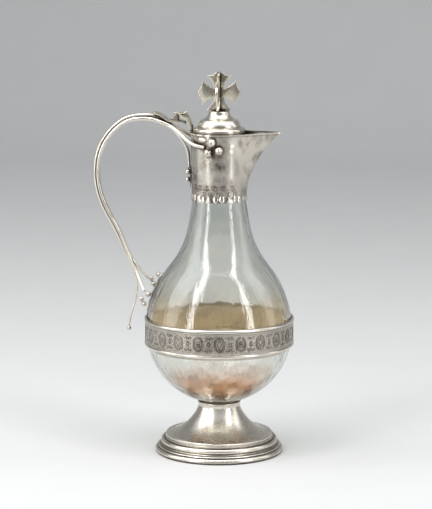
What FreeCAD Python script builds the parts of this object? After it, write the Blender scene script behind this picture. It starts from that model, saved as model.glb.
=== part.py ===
import FreeCAD, Part
import math
import os
import re

import Sketcher
from FreeCAD import Placement, Rotation, Vector

# Glass altar cruet with silver mounts, in millimetres and degrees.
# +Z is up, the origin is the centre of the circle that the foot stands on, +X points to the
# spout, the handle is at -X, and -Y is called the near side.

SIZES = {
    # foot: mouldings from the rest plane up to the trumpet stem
    "foot_radius": 37.4,
    "foot_bead_height": 3.0,
    "reed_radius": "=foot_radius - 1.2",
    "reed_height": 1.0,
    "foot_groove_radius": "=foot_radius - 2.3",
    "foot_groove_height": 0.9,
    "moulding_radius": "=foot_radius - 3.4",
    "moulding_height": 2.9,
    "recess_radius": "=foot_radius - 5",
    "recess_height": 1.2,
    "plate_radius": "=foot_radius - 5.6",
    "plate_height": 11.1,
    "trumpet_radius": "=foot_radius - 7.7",
    "stem_radius": 12.3,
    "stem_height": 29.3,
    "trumpet_curve": 26.4,
    "trumpet_top": "=stem_height - 1.7",
    "foot_wall": 0.9,
    "lip_width": 1.5,
    "plaster_depth": 5.0,
    # glass bottle: belly, shoulder and neck are arcs that run into each other
    "body_radius": 43.3,
    "foot_seat": 0.1,
    "body_height": "=stem_height + foot_seat + body_radius",
    "shoulder_radius": 62.5,
    "neck_curve_radius": 52.0,
    "neck_slope": 9.5,
    "neck_radius": 14.6,
    "neck_step": 1.125,
    "cone_length": 14.3,
    "neck_reach": "=neck_radius + neck_step + cone_length * tan(neck_slope)",
    "bend_share": "=neck_reach + shoulder_radius + neck_curve_radius * cos(neck_slope) - body_radius",
    "shoulder_slope": "=acos(bend_share / (shoulder_radius + neck_curve_radius))",
    "bend_height": "=body_height + shoulder_radius * sin(shoulder_slope)",
    "cone_height": "=bend_height + neck_curve_radius * (sin(shoulder_slope) - sin(neck_slope))",
    "neck_shoulder_height": "=cone_height + cone_length",
    "neck_ledge": 2.1,
    "neck_length": 18.6,
    "neck_top": "=neck_shoulder_height + neck_length",
    "glass_wall": 2.4,
    # girdle: engraved band between two half-round wires
    "girdle_rise": 0.3,
    "girdle_height": "=body_height + girdle_rise",
    "girdle_width": 12.6,
    "girdle_lift": 0.3,
    "band_thickness": 0.35,
    "band_border": 0.7,
    "border_lift": 0.25,
    "wire_height": 2.0,
    "wire_depth": 1.6,
    "glass_gap": 0.05,
    # collar and spout
    "collar_lift": 2.0,
    "collar_bottom": "=neck_shoulder_height + collar_lift",
    "collar_height": 39.0,
    "neck_plaster_width": 0.55,
    "collar_wall": 0.8,
    "collar_radius": "=neck_radius + neck_plaster_width + collar_wall",
    "collar_flare": 0.95,
    "spout_start": 0.25,
    "spout_reach": 20.1,
    "nose_radius": 1.1,
    "nose_fullness": 12.0,
    "rim_drop": 1.7,
    "rim_height": "=collar_bottom + collar_height - rim_drop",
    "spout_rise": 0.034,
    "rim_wire_height": 0.9,
    "rim_wire_overhang": 0.35,
    "tab_height": 1.8,
    "tab_flare": 0.45,
    "tab_count": 26,
    "tab_notch_width": 1.5,
    "tab_notch_depth": 1.0,
    "ledge_width": 2.6,
    "ledge_thickness": 0.8,
    "ledge_gap_angle": 118.0,
    # lid
    "lid_seat_gap": 0.1,
    "lid_inset": 1.66,
    "rim_radius": "=collar_radius + collar_flare * (rim_height - collar_bottom) / collar_height",
    "lid_radius": "=rim_radius - lid_inset",
    "flange_height": 0.8,
    "lid_bead_radius": "=lid_radius - 0.8",
    "lid_bead_height": 1.8,
    "lid_groove_radius": "=lid_radius - 1.8",
    "lid_waist_radius": "=lid_radius - 2.7",
    "lid_step_height": 0.7,
    "lid_dome_height": 3.2,
    "lid_dome_radius": "=lid_radius - 4",
    "lid_shoulder_radius": "=lid_radius - 4.9",
    "lid_shoulder_height": 0.8,
    "lid_cap_radius": 6.1,
    "lid_cap_base_height": 10.3,
    "lid_height": 12.3,
    "lid_wall": 0.8,
    "bezel_clearance": 0.5,
    "bezel_depth": 1.9,
    "bezel_wall": 0.7,
    "fit_gap": 0.05,
    # finial: two cross plates halved into each other
    "finial_height": 10.6,
    "finial_reach": 12.4,
    "finial_arm_length": 10.0,
    "finial_arm_half_width": 7.4,
    "finial_shoulder": 10.3,
    "finial_lobe_half_width": 3.8,
    "finial_lobe_rounding": 7.0,
    "finial_waist": 2.4,
    "finial_hollow": 14.2,
    "finial_thickness": 1.5,
    "stud_radius": 1.3,
    "nut_radius": 2.6,
    "nut_height": 1.6,
    # hinge of the lid
    "hinge_overhang": 8.84,
    "hinge_distance": "=rim_radius + hinge_overhang",
    "hinge_rise": 9.3,
    "hinge_height": "=rim_height + hinge_rise",
    "knuckle_radius": 1.4,
    "pin_radius": 0.6,
    "pin_clearance": 0.05,
    "pin_head": 0.3,
    "strap_width": 5.6,
    "strap_thickness": 1.4,
    "strap_length": 12.5,
    "strap_free_end": 5.8,
    "knuckle_width": 2.4,
    "knuckle_gap": 0.2,
    "arm_width": 3.4,
    "arm_gap": 0.35,
    # handle: three round stems laid together, which part at both ends
    "handle_overhang": 29.9,
    "handle_reach": "=body_radius + handle_overhang",
    "handle_rise": 9.2,
    "handle_crown": "=rim_height + handle_rise",
    "stem_thickness": 2.3,
    "stem_taper": 0.5,
    "solder_gap": 0.04,
    "tendril_thickness": 1.1,
    "bud_radius": 1.35,
    # bracket on the girdle for the lower ends of the handle
    "bracket_rise": 33.8,
    "bracket_half_width": 9.5,
    "bracket_thickness": 0.9,
    # berries and leaves
    "berry_radius": 2.6,
    "back_berry_radius": 1.6,
    "back_berry_drop": 22.7,
    "lower_berry_radius": 1.6,
    "near_berry_rise": 16.2,
    "far_berry_rise": 26.0,
    "leaf_thickness": 0.5,
    "leaf_length": 6.0,
    "leaf_width": 3.8,
    "leaf_margin": 0.4,
    "leaf_root": 5.6,
    "back_leaf_length": 13.6,
    "back_leaf_half_width": 2.6,
    "back_leaf_drop": 18.7,
    "rivet_radius": 0.9,
}

doc = FreeCAD.newDocument("AltarCruet")
sheet = doc.addObject("Spreadsheet::Sheet", "Sizes")
for row, (alias, number) in enumerate(SIZES.items(), start=1):
    sheet.set(f"A{row}", alias.replace("_", " "))
    sheet.set(f"B{row}", str(number))
    sheet.setAlias(f"B{row}", alias)
doc.recompute()

pieces = []


def bind(formula):
    """Write a formula of size names as an expression on the sheet."""
    return re.sub(r"[a-z_]+", lambda word: f"Sizes.{word[0]}" if word[0] in SIZES else word[0], formula)


def value(formula):
    """Work a formula of size names out as a plain number."""
    result = sheet.evalExpression(bind(formula))
    return float(getattr(result, "Value", result))


def point(x, y, z):
    """Work three formulas out as a place."""
    return Vector(value(x), value(y), value(z))


def is_number(formula):
    return re.fullmatch(r"-?[0-9.]+", formula) is not None


def line(x, y):
    """A corner of an outline that a straight edge runs to."""
    return (x, y, None, 0)


def arc(x, y, radius, side):
    """A corner that an arc runs to; its centre is on the left (1) or the right (-1) of the way."""
    return (x, y, radius, side)


def arc_edge(start, end, radius, side):
    """The short arc from start to end, always drawn anticlockwise."""
    chord = end - start
    middle = (start + end) * 0.5
    left = Vector(-chord.y, chord.x, 0).normalize()
    rise = math.sqrt(max(radius**2 - (chord.Length / 2) ** 2, 0.0))
    centre = middle + left * (side * rise)
    first, last = (start, end) if side > 0 else (end, start)
    begin = math.atan2(first.y - centre.y, first.x - centre.x)
    finish = math.atan2(last.y - centre.y, last.x - centre.x)
    return Part.ArcOfCircle(Part.Circle(centre, Vector(0, 0, 1), radius), begin, finish)


def draw(sketch, steps):
    """Draw one closed outline and hold every corner and radius at its formula."""
    corners = [Vector(value(step[0]), value(step[1]), 0) for step in steps]
    edges = []
    offset = sketch.GeometryCount
    for index, (x, y, radius, side) in enumerate(steps):
        start = corners[index - 1]
        end = corners[index]
        if radius is None:
            edges.append(Part.LineSegment(start, end))
        else:
            edges.append(arc_edge(start, end, value(radius), side))
    sketch.addGeometry(edges)
    constraints = []
    formulas = []
    for index, (x, y, radius, side) in enumerate(steps):
        edge = offset + index
        following = offset + (index + 1) % len(steps)
        arrival = 1 if side < 0 else 2
        departure = 2 if steps[(index + 1) % len(steps)][3] < 0 else 1
        constraints.append(Sketcher.Constraint("Coincident", edge, arrival, following, departure))
        formulas.append(None)
        for kind, axis, formula, place in (
            ("DistanceX", -2, x, corners[index].x),
            ("DistanceY", -1, y, corners[index].y),
        ):
            if formula == "0":
                constraints.append(Sketcher.Constraint("PointOnObject", edge, arrival, axis))
                formulas.append(None)
            else:
                constraints.append(Sketcher.Constraint(kind, -1, 1, edge, arrival, place))
                formulas.append(None if is_number(formula) else formula)
        if radius is not None:
            constraints.append(Sketcher.Constraint("Radius", edge, value(radius)))
            formulas.append(None if is_number(radius) else radius)
    for index, formula in zip(sketch.addConstraint(constraints), formulas):
        if formula is not None:
            sketch.setExpression(f"Constraints[{index}]", bind(formula))


def new_body(label):
    body = doc.addObject("PartDesign::Body", label)
    body.Label = label
    pieces.append(body)
    return body


def new_sketch(body, role, height="0"):
    """A sketch on an origin plane of its body, lifted off it by a formula."""
    sketch = body.newObject("Sketcher::SketchObject", body.Label + "_sketch")
    plane = next(item for item in body.Origin.OriginFeatures if item.Role == role)
    sketch.AttachmentSupport = (plane, [""])
    sketch.MapMode = "FlatFace"
    if height != "0":
        sketch.setExpression("AttachmentOffset.Base.z", bind(height))
    return sketch


def turn(body, steps, role="XZ_Plane", angle=360.0):
    """Turn an outline about the cruet's own axis."""
    sketch = new_sketch(body, role)
    draw(sketch, steps)
    feature = body.newObject("PartDesign::Revolution", body.Label + "_turning")
    feature.Profile = sketch
    feature.ReferenceAxis = (sketch, ["V_Axis"])
    feature.Angle = angle
    feature.Midplane = angle < 360.0
    return feature


def pad(body, outlines, role, length):
    """Thicken outlines evenly to both sides of an origin plane."""
    sketch = new_sketch(body, role)
    for steps in outlines:
        draw(sketch, steps)
    feature = body.newObject("PartDesign::Pad", body.Label + "_pad")
    feature.Profile = sketch
    feature.Midplane = True
    feature.setExpression("Length", bind(length))
    return feature


def cut(body, outlines, role, length="400"):
    """Cut outlines out of a body evenly to both sides of an origin plane."""
    sketch = new_sketch(body, role)
    for steps in outlines:
        draw(sketch, steps)
    feature = body.newObject("PartDesign::Pocket", body.Label + "_cut")
    feature.Profile = sketch
    feature.Midplane = True
    if is_number(length):
        feature.Length = float(length)
    else:
        feature.setExpression("Length", bind(length))
    return feature


def rectangle(left, right, bottom, top):
    return [line(left, bottom), line(right, bottom), line(right, top), line(left, top)]


def circle_outline(x, y, radius):
    """A circle as four quarter arcs."""
    return [
        arc(f"{x} + {radius}", y, radius, 1),
        arc(x, f"{y} + {radius}", radius, 1),
        arc(f"{x} - ({radius})", y, radius, 1),
        arc(x, f"{y} - ({radius})", radius, 1),
    ]


def ring(label, inner, outer, bottom, top):
    """A plain turned ring."""
    body = new_body(label)
    turn(body, rectangle(inner, outer, bottom, top))


# Foot


def make_foot():
    body = new_body("foot_shell")
    reed_top = "(foot_bead_height + 0.3 + reed_height)"
    groove_top = f"({reed_top} + foot_groove_height)"
    moulding_top = f"({groove_top} + moulding_height)"
    recess_top = f"({moulding_top} + recess_height)"
    turn(
        body,
        [
            line("foot_radius - 2 * foot_wall", "0"),
            line("foot_radius", "0"),
            arc("foot_radius", "foot_bead_height", "foot_bead_height * 0.6", 1),
            line("reed_radius", "foot_bead_height + 0.3"),
            arc("reed_radius", reed_top, "reed_height * 0.6", 1),
            line("foot_groove_radius", reed_top),
            arc("moulding_radius", groove_top, "foot_groove_height * 1.6", -1),
            arc("moulding_radius", moulding_top, "moulding_height * 0.62", 1),
            line("recess_radius", moulding_top),
            line("recess_radius", recess_top),
            line("plate_radius", f"{recess_top} + 0.3"),
            line("plate_radius", "plate_height - 0.5"),
            arc("plate_radius - 0.5", "plate_height", "0.5", 1),
            line("trumpet_radius", "plate_height"),
            arc("stem_radius", "trumpet_top", "trumpet_curve", -1),
            line("stem_radius + 0.1", "stem_height"),
            line("stem_radius + 0.1 - foot_wall", "stem_height"),
            line("stem_radius - foot_wall", "trumpet_top"),
            arc("trumpet_radius - 0.3", "plate_height - foot_wall", "trumpet_curve + foot_wall", 1),
            line("recess_radius - 2 * foot_wall", "plate_height - foot_wall"),
            line("recess_radius - 2 * foot_wall", f"{moulding_top} - foot_wall"),
            line("moulding_radius - 2 * foot_wall", groove_top),
            line("foot_groove_radius - 2 * foot_wall", f"{reed_top} - 0.4"),
        ],
    )


def make_foot_lip():
    body = new_body("foot_lip_ring")
    turn(
        body,
        [
            line("stem_radius + 0.1 - foot_wall", "stem_height"),
            line("stem_radius + 0.1", "stem_height"),
            arc("stem_radius + 0.1", "stem_height + lip_width", "lip_width * 0.55", 1),
            line("stem_radius + 0.1 - foot_wall", "stem_height + lip_width"),
        ],
    )


def make_foot_plaster():
    body = new_body("foot_plaster")
    edge = "(stem_radius - foot_wall)"
    turn(
        body,
        [
            line("0", "stem_height - plaster_depth + 3"),
            line(edge, "trumpet_top"),
            line(f"{edge} + 0.1", "stem_height"),
            line(f"{edge} + 0.1", f"body_height - sqrt(body_radius^2 - ({edge} + 0.1)^2)"),
            arc("0", "body_height - body_radius", "body_radius", -1),
        ],
    )


# Bottle

bend_x = "(body_radius - shoulder_radius + shoulder_radius * cos(shoulder_slope))"


def glass_radius_above(height, lift="0"):
    """Outer radius of the bottle over its widest place, or of a surface that lies a lift off it."""
    rise = f"({height} - body_height)"
    return f"(body_radius - shoulder_radius + sqrt((shoulder_radius + {lift})^2 - {rise}^2))"


def glass_radius_below(height, lift="0"):
    """Outer radius of the bottle under its widest place, or of a surface that lies a lift off it."""
    return f"sqrt((body_radius + {lift})^2 - (body_height - ({height}))^2)"


def make_bottle():
    body = new_body("glass_bottle")
    wall_x = "glass_wall * cos(shoulder_slope)"
    wall_z = "glass_wall * sin(shoulder_slope)"
    bore = "neck_radius - glass_wall"
    turn(
        body,
        [
            line("0", "body_height - body_radius"),
            arc("body_radius", "body_height", "body_radius", 1),
            arc(bend_x, "bend_height", "shoulder_radius", 1),
            arc("neck_reach", "cone_height", "neck_curve_radius", -1),
            line("neck_radius + neck_step", "neck_shoulder_height"),
            line("neck_radius", "neck_shoulder_height + neck_ledge"),
            line("neck_radius", "neck_top - 0.6"),
            arc("neck_radius - 0.6", "neck_top", "0.6", 1),
            line(f"{bore} + 0.6", "neck_top"),
            arc(bore, "neck_top - 0.6", "0.6", 1),
            line(bore, "neck_shoulder_height + neck_ledge"),
            line("neck_reach - glass_wall * cos(neck_slope)", "cone_height - glass_wall * sin(neck_slope)"),
            arc(f"{bend_x} - {wall_x}", f"bend_height - {wall_z}", "neck_curve_radius + glass_wall", 1),
            arc("body_radius - glass_wall", "body_height", "shoulder_radius - glass_wall", -1),
            arc("0", "body_height - body_radius + glass_wall", "body_radius - glass_wall", -1),
        ],
    )


# Girdle

band_inner = "(body_radius + girdle_lift)"
band_outer = "(body_radius + girdle_lift + band_thickness)"
band_bottom = "(girdle_height - girdle_width / 2)"
band_top = "(girdle_height + girdle_width / 2)"
upper_wire_seat = f"({glass_radius_above(band_top)} + glass_gap)"
lower_wire_seat = f"({glass_radius_below(band_bottom)} + glass_gap)"


def make_girdle():
    band = new_body("girdle_band")
    border = f"{band_outer} + border_lift"
    turn(
        band,
        [
            line(band_inner, band_bottom),
            line(border, band_bottom),
            line(border, f"{band_bottom} + band_border"),
            line(band_outer, f"{band_bottom} + band_border + 0.2"),
            line(band_outer, f"{band_top} - band_border - 0.2"),
            line(border, f"{band_top} - band_border"),
            line(border, band_top),
            line(band_inner, band_top),
        ],
    )
    cement = new_body("girdle_cement")
    turn(
        cement,
        [
            arc(glass_radius_below(band_bottom, "glass_gap"), band_bottom, "body_radius + glass_gap", -1),
            line(band_inner, band_bottom),
            line(band_inner, band_top),
            line(glass_radius_above(band_top, "glass_gap"), band_top),
            arc("body_radius + glass_gap", "body_height", "shoulder_radius + glass_gap", -1),
        ],
    )
    for label, seat, bottom in (
        ("girdle_upper_wire", upper_wire_seat, band_top),
        ("girdle_lower_wire", lower_wire_seat, f"{band_bottom} - wire_height"),
    ):
        wire = new_body(label)
        turn(
            wire,
            [
                line(seat, bottom),
                line(f"{seat} + wire_depth / 2", bottom),
                arc(f"{seat} + wire_depth / 2", f"{bottom} + wire_height", "wire_height * 0.54", 1),
                line(seat, f"{bottom} + wire_height"),
            ],
        )


# Plates that are bent round the cruet's axis and cut to an outline


def bent_plate(label, section, roles, leaf, bounds, angle):
    """Turn a thin section through an angle, then cut away all but the leaf outline."""
    body = new_body(label)
    turn(body, section, roles[0], angle)
    cut(body, [bounds, leaf], roles[1])


bracket_bottom = f"({band_top} + wire_height + glass_gap)"
bracket_top = "(body_height + bracket_rise)"
bracket_gap = "(2 * glass_gap)"
bracket_face = f"({bracket_gap} + bracket_thickness)"


def make_bracket():
    low = bracket_bottom
    high = bracket_top
    section = [
        arc(f"-{glass_radius_above(low, bracket_gap)}", low, f"shoulder_radius + {bracket_gap}", 1),
        line(f"-{glass_radius_above(low, bracket_face)}", low),
        arc(f"-{glass_radius_above(high, bracket_face)}", high, f"shoulder_radius + {bracket_face}", -1),
        line(f"-{glass_radius_above(high, bracket_gap)}", high),
    ]
    half = "bracket_half_width"
    waist = f"{low} + 8"
    lobe = f"{high} - 8"
    cusp = f"{high} - 3.4"
    shape = [
        arc(f"-{half}", low, f"{half} * 1.5", 1),
        line(half, low),
        arc(f"{half} * 0.62", waist, f"{half} * 1.5", 1),
        arc(f"{half} * 0.92", lobe, f"{half} * 0.95", -1),
        arc(f"{half} * 0.4", cusp, f"{half} * 0.55", 1),
        arc("0", high, f"{half} * 0.63", -1),
        arc(f"-{half} * 0.4", cusp, f"{half} * 0.63", -1),
        arc(f"-{half} * 0.92", lobe, f"{half} * 0.55", 1),
        arc(f"-{half} * 0.62", waist, f"{half} * 0.95", -1),
    ]
    bounds = rectangle("-body_radius", "body_radius", f"{low} - 5", f"{high} + 5")
    bent_plate("handle_bracket", section, ("XZ_Plane", "YZ_Plane"), shape, bounds, 60.0)


# Collar and spout


def section_at(rise, trim="0"):
    """Formulas of the collar's plan at a share of its height: radius, tip and nose radius."""
    radius = f"(collar_radius + collar_flare * ({rise}) - {trim})"
    reach = f"spout_reach * (0.92 * ({rise})^2 + 0.08 * ({rise})^8)"
    tip = f"(collar_radius + collar_flare * ({rise}) + spout_start + {reach} - {trim})"
    nose = f"(nose_radius + nose_fullness * (1 - ({rise}))^3 - {trim})"
    return radius, tip, nose


def teardrop(radius, tip, nose):
    """Circle of the collar, run out by two straight sides to the rounded nose of the spout."""
    sine = f"(({radius} - {nose}) / ({tip} - {nose}))"
    cosine = f"sqrt(1 - {sine}^2)"
    side_x = f"{radius} * {sine}"
    side_y = f"{radius} * {cosine}"
    nose_x = f"{tip} - {nose} + {nose} * {sine}"
    nose_y = f"{nose} * {cosine}"
    return [
        arc(side_x, f"-({side_y})", radius, 1),
        line(nose_x, f"-({nose_y})"),
        arc(nose_x, nose_y, nose, 1),
        line(side_x, side_y),
        arc(f"-{radius}", "0", radius, 1),
    ]


def loft(body, kind, rises, trim):
    sections = []
    for rise in rises:
        sketch = new_sketch(body, "XY_Plane", f"collar_bottom + collar_height * ({rise})")
        draw(sketch, teardrop(*section_at(rise, trim)))
        sections.append(sketch)
    feature = body.newObject(kind, body.Label + "_loft")
    feature.Profile = sections[0]
    feature.Sections = sections[1:]
    return feature


def rim_band(bottom, top):
    """Side view of a strip that is level over the collar and climbs along the spout."""
    far = "(collar_radius + spout_reach + 10)"
    climb = f"spout_rise * ({far} - collar_radius)"
    return [
        line("-2 * collar_radius", bottom),
        line("collar_radius", bottom),
        line(far, f"{bottom} + {climb}"),
        line(far, f"{top} + {climb}"),
        line("collar_radius", top),
        line("-2 * collar_radius", top),
    ]


def make_collar():
    body = new_body("neck_collar")
    steps = 6
    rises = [f"{index / steps:.4f}" for index in range(steps + 1)]
    loft(body, "PartDesign::AdditiveLoft", rises, "0")
    loft(body, "PartDesign::SubtractiveLoft", ["-0.04", *rises[1:-1], "1.04"], "collar_wall")
    cut(body, [rim_band("rim_height", "rim_height + 12")], "XZ_Plane")


def make_rim_wire():
    body = new_body("collar_rim_wire")
    rise = "((rim_height + spout_rise * spout_reach - collar_bottom) / collar_height)"
    sketch = new_sketch(body, "XY_Plane", "rim_height")
    draw(sketch, teardrop(*section_at(rise, "(-rim_wire_overhang)")))
    draw(sketch, teardrop(*section_at(rise, "(collar_wall - fit_gap)")))
    feature = body.newObject("PartDesign::Pad", "collar_rim_wire_pad")
    feature.Profile = sketch
    feature.setExpression("Length", bind("3 * rim_wire_height + spout_rise * spout_reach"))
    top = "(rim_height + rim_wire_height)"
    cut(body, [rim_band(top, f"{top} + 10")], "XZ_Plane")
    cut(body, [rim_band("(rim_height - 10)", "rim_height")], "XZ_Plane")


def make_tab_ring():
    body = new_body("neck_tab_ring")
    bottom = "(collar_bottom - tab_height)"
    inner = "(collar_radius - collar_wall)"
    turn(
        body,
        [
            line("neck_radius + neck_step + 3 * glass_gap", bottom),
            line("collar_radius + tab_flare", bottom),
            line("collar_radius + 0.1", "collar_bottom"),
            line(inner, "collar_bottom"),
            line(inner, "collar_bottom - 0.2"),
        ],
    )
    sketch = new_sketch(body, "YZ_Plane")
    half = "(tab_notch_width / 2 + 0.2)"
    draw(
        sketch,
        [
            arc(f"-{half}", f"{bottom} - 0.3", "tab_notch_depth * 1.6", -1),
            line(half, f"{bottom} - 0.3"),
            arc("0", f"{bottom} + tab_notch_depth", "tab_notch_depth * 1.6", -1),
        ],
    )
    notch = body.newObject("PartDesign::Pocket", "neck_tab_notch")
    notch.Profile = sketch
    notch.Reversed = True
    notch.setExpression("Length", bind("2 * collar_radius"))
    doc.recompute()
    pattern = body.newObject("PartDesign::PolarPattern", "neck_tab_notches")
    pattern.Originals = [notch]
    pattern.Axis = (sketch, ["V_Axis"])
    pattern.Angle = 360
    pattern.setExpression("Occurrences", bind("tab_count"))
    body.Tip = pattern


ledge_outer = "(rim_radius - collar_wall - fit_gap)"
ledge_inner = f"({ledge_outer} - ledge_width)"
ledge_top = "(rim_height + rim_wire_height)"


def make_ledge():
    body = new_body("lid_seat_ledge")
    bottom = f"{ledge_top} - ledge_thickness"
    feature = turn(body, rectangle(f"-{ledge_outer}", f"-{ledge_inner}", bottom, ledge_top), angle=240.0)
    feature.setExpression("Angle", bind("360 - ledge_gap_angle"))


# Lid

lid_bottom = f"({ledge_top} + lid_seat_gap)"
bezel_outer = f"({ledge_inner} - bezel_clearance)"
finial_centre = f"({lid_bottom} + lid_height + finial_height)"


def make_lid():
    body = new_body("lid_cover")
    bead_bottom = f"({lid_bottom} + flange_height)"
    bead_top = f"({bead_bottom} + lid_bead_height)"
    waist = f"({bead_top} + lid_step_height)"
    dome_top = f"({waist} + lid_dome_height)"
    shoulder_top = f"({dome_top} + lid_shoulder_height)"
    cap_base = f"({lid_bottom} + lid_cap_base_height)"
    top = f"({lid_bottom} + lid_height)"
    bore = f"({bezel_outer} + fit_gap)"
    turn(
        body,
        [
            line(bore, lid_bottom),
            line("lid_radius", lid_bottom),
            line("lid_radius", bead_bottom),
            arc("lid_bead_radius", bead_top, "lid_bead_height * 0.75", 1),
            arc("lid_groove_radius", f"{bead_top} + 0.3", "1.4", -1),
            line("lid_waist_radius", waist),
            arc("lid_dome_radius", dome_top, "lid_dome_height * 1.5", 1),
            arc("lid_shoulder_radius", shoulder_top, "lid_shoulder_height * 1.3", 1),
            arc("lid_cap_radius + 0.3", cap_base, "6.5", -1),
            line("lid_cap_radius", f"{top} - 0.6"),
            arc("lid_cap_radius - 0.6", top, "0.6", 1),
            line("stud_radius + fit_gap", top),
            line("stud_radius + fit_gap", f"{top} - lid_wall"),
            line("lid_cap_radius - lid_wall", f"{top} - lid_wall"),
            line("lid_cap_radius - lid_wall", f"{cap_base} - lid_wall"),
            arc("lid_shoulder_radius - lid_wall * 0.5", f"{shoulder_top} - lid_wall", "6.5 + lid_wall", 1),
            line("lid_dome_radius - lid_wall", dome_top),
            line("lid_waist_radius - lid_wall", waist),
            line("lid_waist_radius - lid_wall", f"{bead_bottom} + 0.4"),
            line(bore, f"{bead_bottom} + 0.4"),
        ],
    )
    ring(
        "lid_bezel",
        f"{bezel_outer} - bezel_wall",
        bezel_outer,
        f"{lid_bottom} - bezel_depth",
        f"{bead_bottom} + 0.3",
    )


def plate_outline(foot):
    """Cross with flared, lobed arms; the lowest arm stands on a flat foot."""
    turns = (
        lambda along, across: (along, across),
        lambda along, across: (f"-({across})", along),
        lambda along, across: (f"-({along})", f"-({across})"),
        lambda along, across: (across, f"-({along})"),
    )
    waist = "finial_waist"
    steps = []
    for number, place in enumerate(turns):
        lowest = number == 3
        tips = [
            ("arc", "finial_arm_length", "-finial_arm_half_width", "finial_hollow", -1),
            ("line", "finial_shoulder", "-finial_lobe_half_width", None, 0),
            ("arc", "finial_reach", "0", "finial_lobe_rounding", 1),
            ("arc", "finial_shoulder", "finial_lobe_half_width", "finial_lobe_rounding", 1),
            ("line", "finial_arm_length", "finial_arm_half_width", None, 0),
            ("arc", waist, waist, "finial_hollow", -1),
        ]
        if lowest:
            tips[2] = ("line", foot, "-finial_lobe_half_width + 0.4", None, 0)
            tips[3:4] = [
                ("line", foot, "finial_lobe_half_width - 0.4", None, 0),
                ("line", "finial_shoulder", "finial_lobe_half_width", None, 0),
            ]
        for kind, along, across, radius, side in tips:
            x, z = place(along, across)
            steps.append((x if x != "-(0)" else "0", f"{finial_centre} + {z}", radius, side))
    return steps


def make_finial():
    for label, role, slot_side in (
        ("finial_long_plate", "XZ_Plane", 1),
        ("finial_cross_plate", "YZ_Plane", -1),
    ):
        body = new_body(label)
        pad(body, [plate_outline("finial_height")], role, "finial_thickness")
        half = "(finial_thickness / 2 + fit_gap)"
        overlap = "fit_gap / 2"
        if slot_side > 0:
            slot = rectangle(f"-{half}", half, f"{finial_centre} - {overlap}", f"{finial_centre} + 20")
        else:
            slot = rectangle(f"-{half}", half, f"{finial_centre} - 20", f"{finial_centre} + {overlap}")
        cut(body, [slot], role, "3 * finial_thickness")
    top = f"({lid_bottom} + lid_height)"
    inside = f"({top} - lid_wall - nut_height)"
    stud = new_body("finial_stud")
    turn(stud, rectangle("0", "stud_radius", f"{inside} - 0.8", top))
    nut = new_body("finial_nut")
    sketch = new_sketch(nut, "XY_Plane", inside)
    corners = [(f"nut_radius * cos({60 * index})", f"nut_radius * sin({60 * index})") for index in range(6)]
    draw(sketch, [line(x, y) for x, y in corners])
    draw(sketch, circle_outline("0", "0", "(stud_radius + fit_gap)"))
    feature = nut.newObject("PartDesign::Pad", "finial_nut_pad")
    feature.Profile = sketch
    feature.setExpression("Length", bind("nut_height"))


# Hinge

pin_x = "(-hinge_distance)"
strap_top = "(hinge_height - knuckle_radius - arm_gap)"


def make_strap():
    body = new_body("hinge_strap")
    seat = "(handle_crown + stem_thickness / 2 + strap_thickness + fit_gap)"
    tip_x = f"({pin_x} + strap_free_end)"
    drop = "strap_thickness"
    top = [
        (tip_x, f"{strap_top} - 0.7"),
        (pin_x, strap_top),
        (f"({pin_x} - 4.4)", f"{strap_top} + 0.6"),
        (f"({pin_x} - 6.6)", f"{seat} - 2.1"),
        (f"({pin_x} - 9.4)", f"{seat} - 0.3"),
        (f"({pin_x} - strap_length)", f"{seat} + 0.7"),
    ]
    steps = [line(x, z) for x, z in top]
    steps += [line(x, f"{z} - {drop}") for x, z in reversed(top)]
    pad(body, [steps], "XZ_Plane", "strap_width")
    lugs = [
        line(f"{pin_x} - knuckle_radius", f"{strap_top} - 0.3"),
        line(f"{pin_x} + knuckle_radius", f"{strap_top} - 0.3"),
        line(f"{pin_x} + knuckle_radius", "hinge_height"),
        arc(pin_x, "hinge_height + knuckle_radius", "knuckle_radius", 1),
        arc(f"{pin_x} - knuckle_radius", "hinge_height", "knuckle_radius", 1),
    ]
    pad(body, [lugs], "XZ_Plane", "strap_width")
    slot = rectangle(
        f"{pin_x} - 2 * knuckle_radius",
        f"{pin_x} + 2 * knuckle_radius",
        strap_top,
        "hinge_height + 2 * knuckle_radius",
    )
    cut(body, [slot], "XZ_Plane", "knuckle_width + 2 * knuckle_gap")
    cut(body, [circle_outline(pin_x, "hinge_height", "pin_radius")], "XZ_Plane", "2 * strap_width")


def make_pin():
    body = new_body("hinge_pin")
    round_pin = circle_outline(pin_x, "hinge_height", "pin_radius")
    pad(body, [round_pin], "XZ_Plane", "strap_width + 2 * pin_head")


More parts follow.
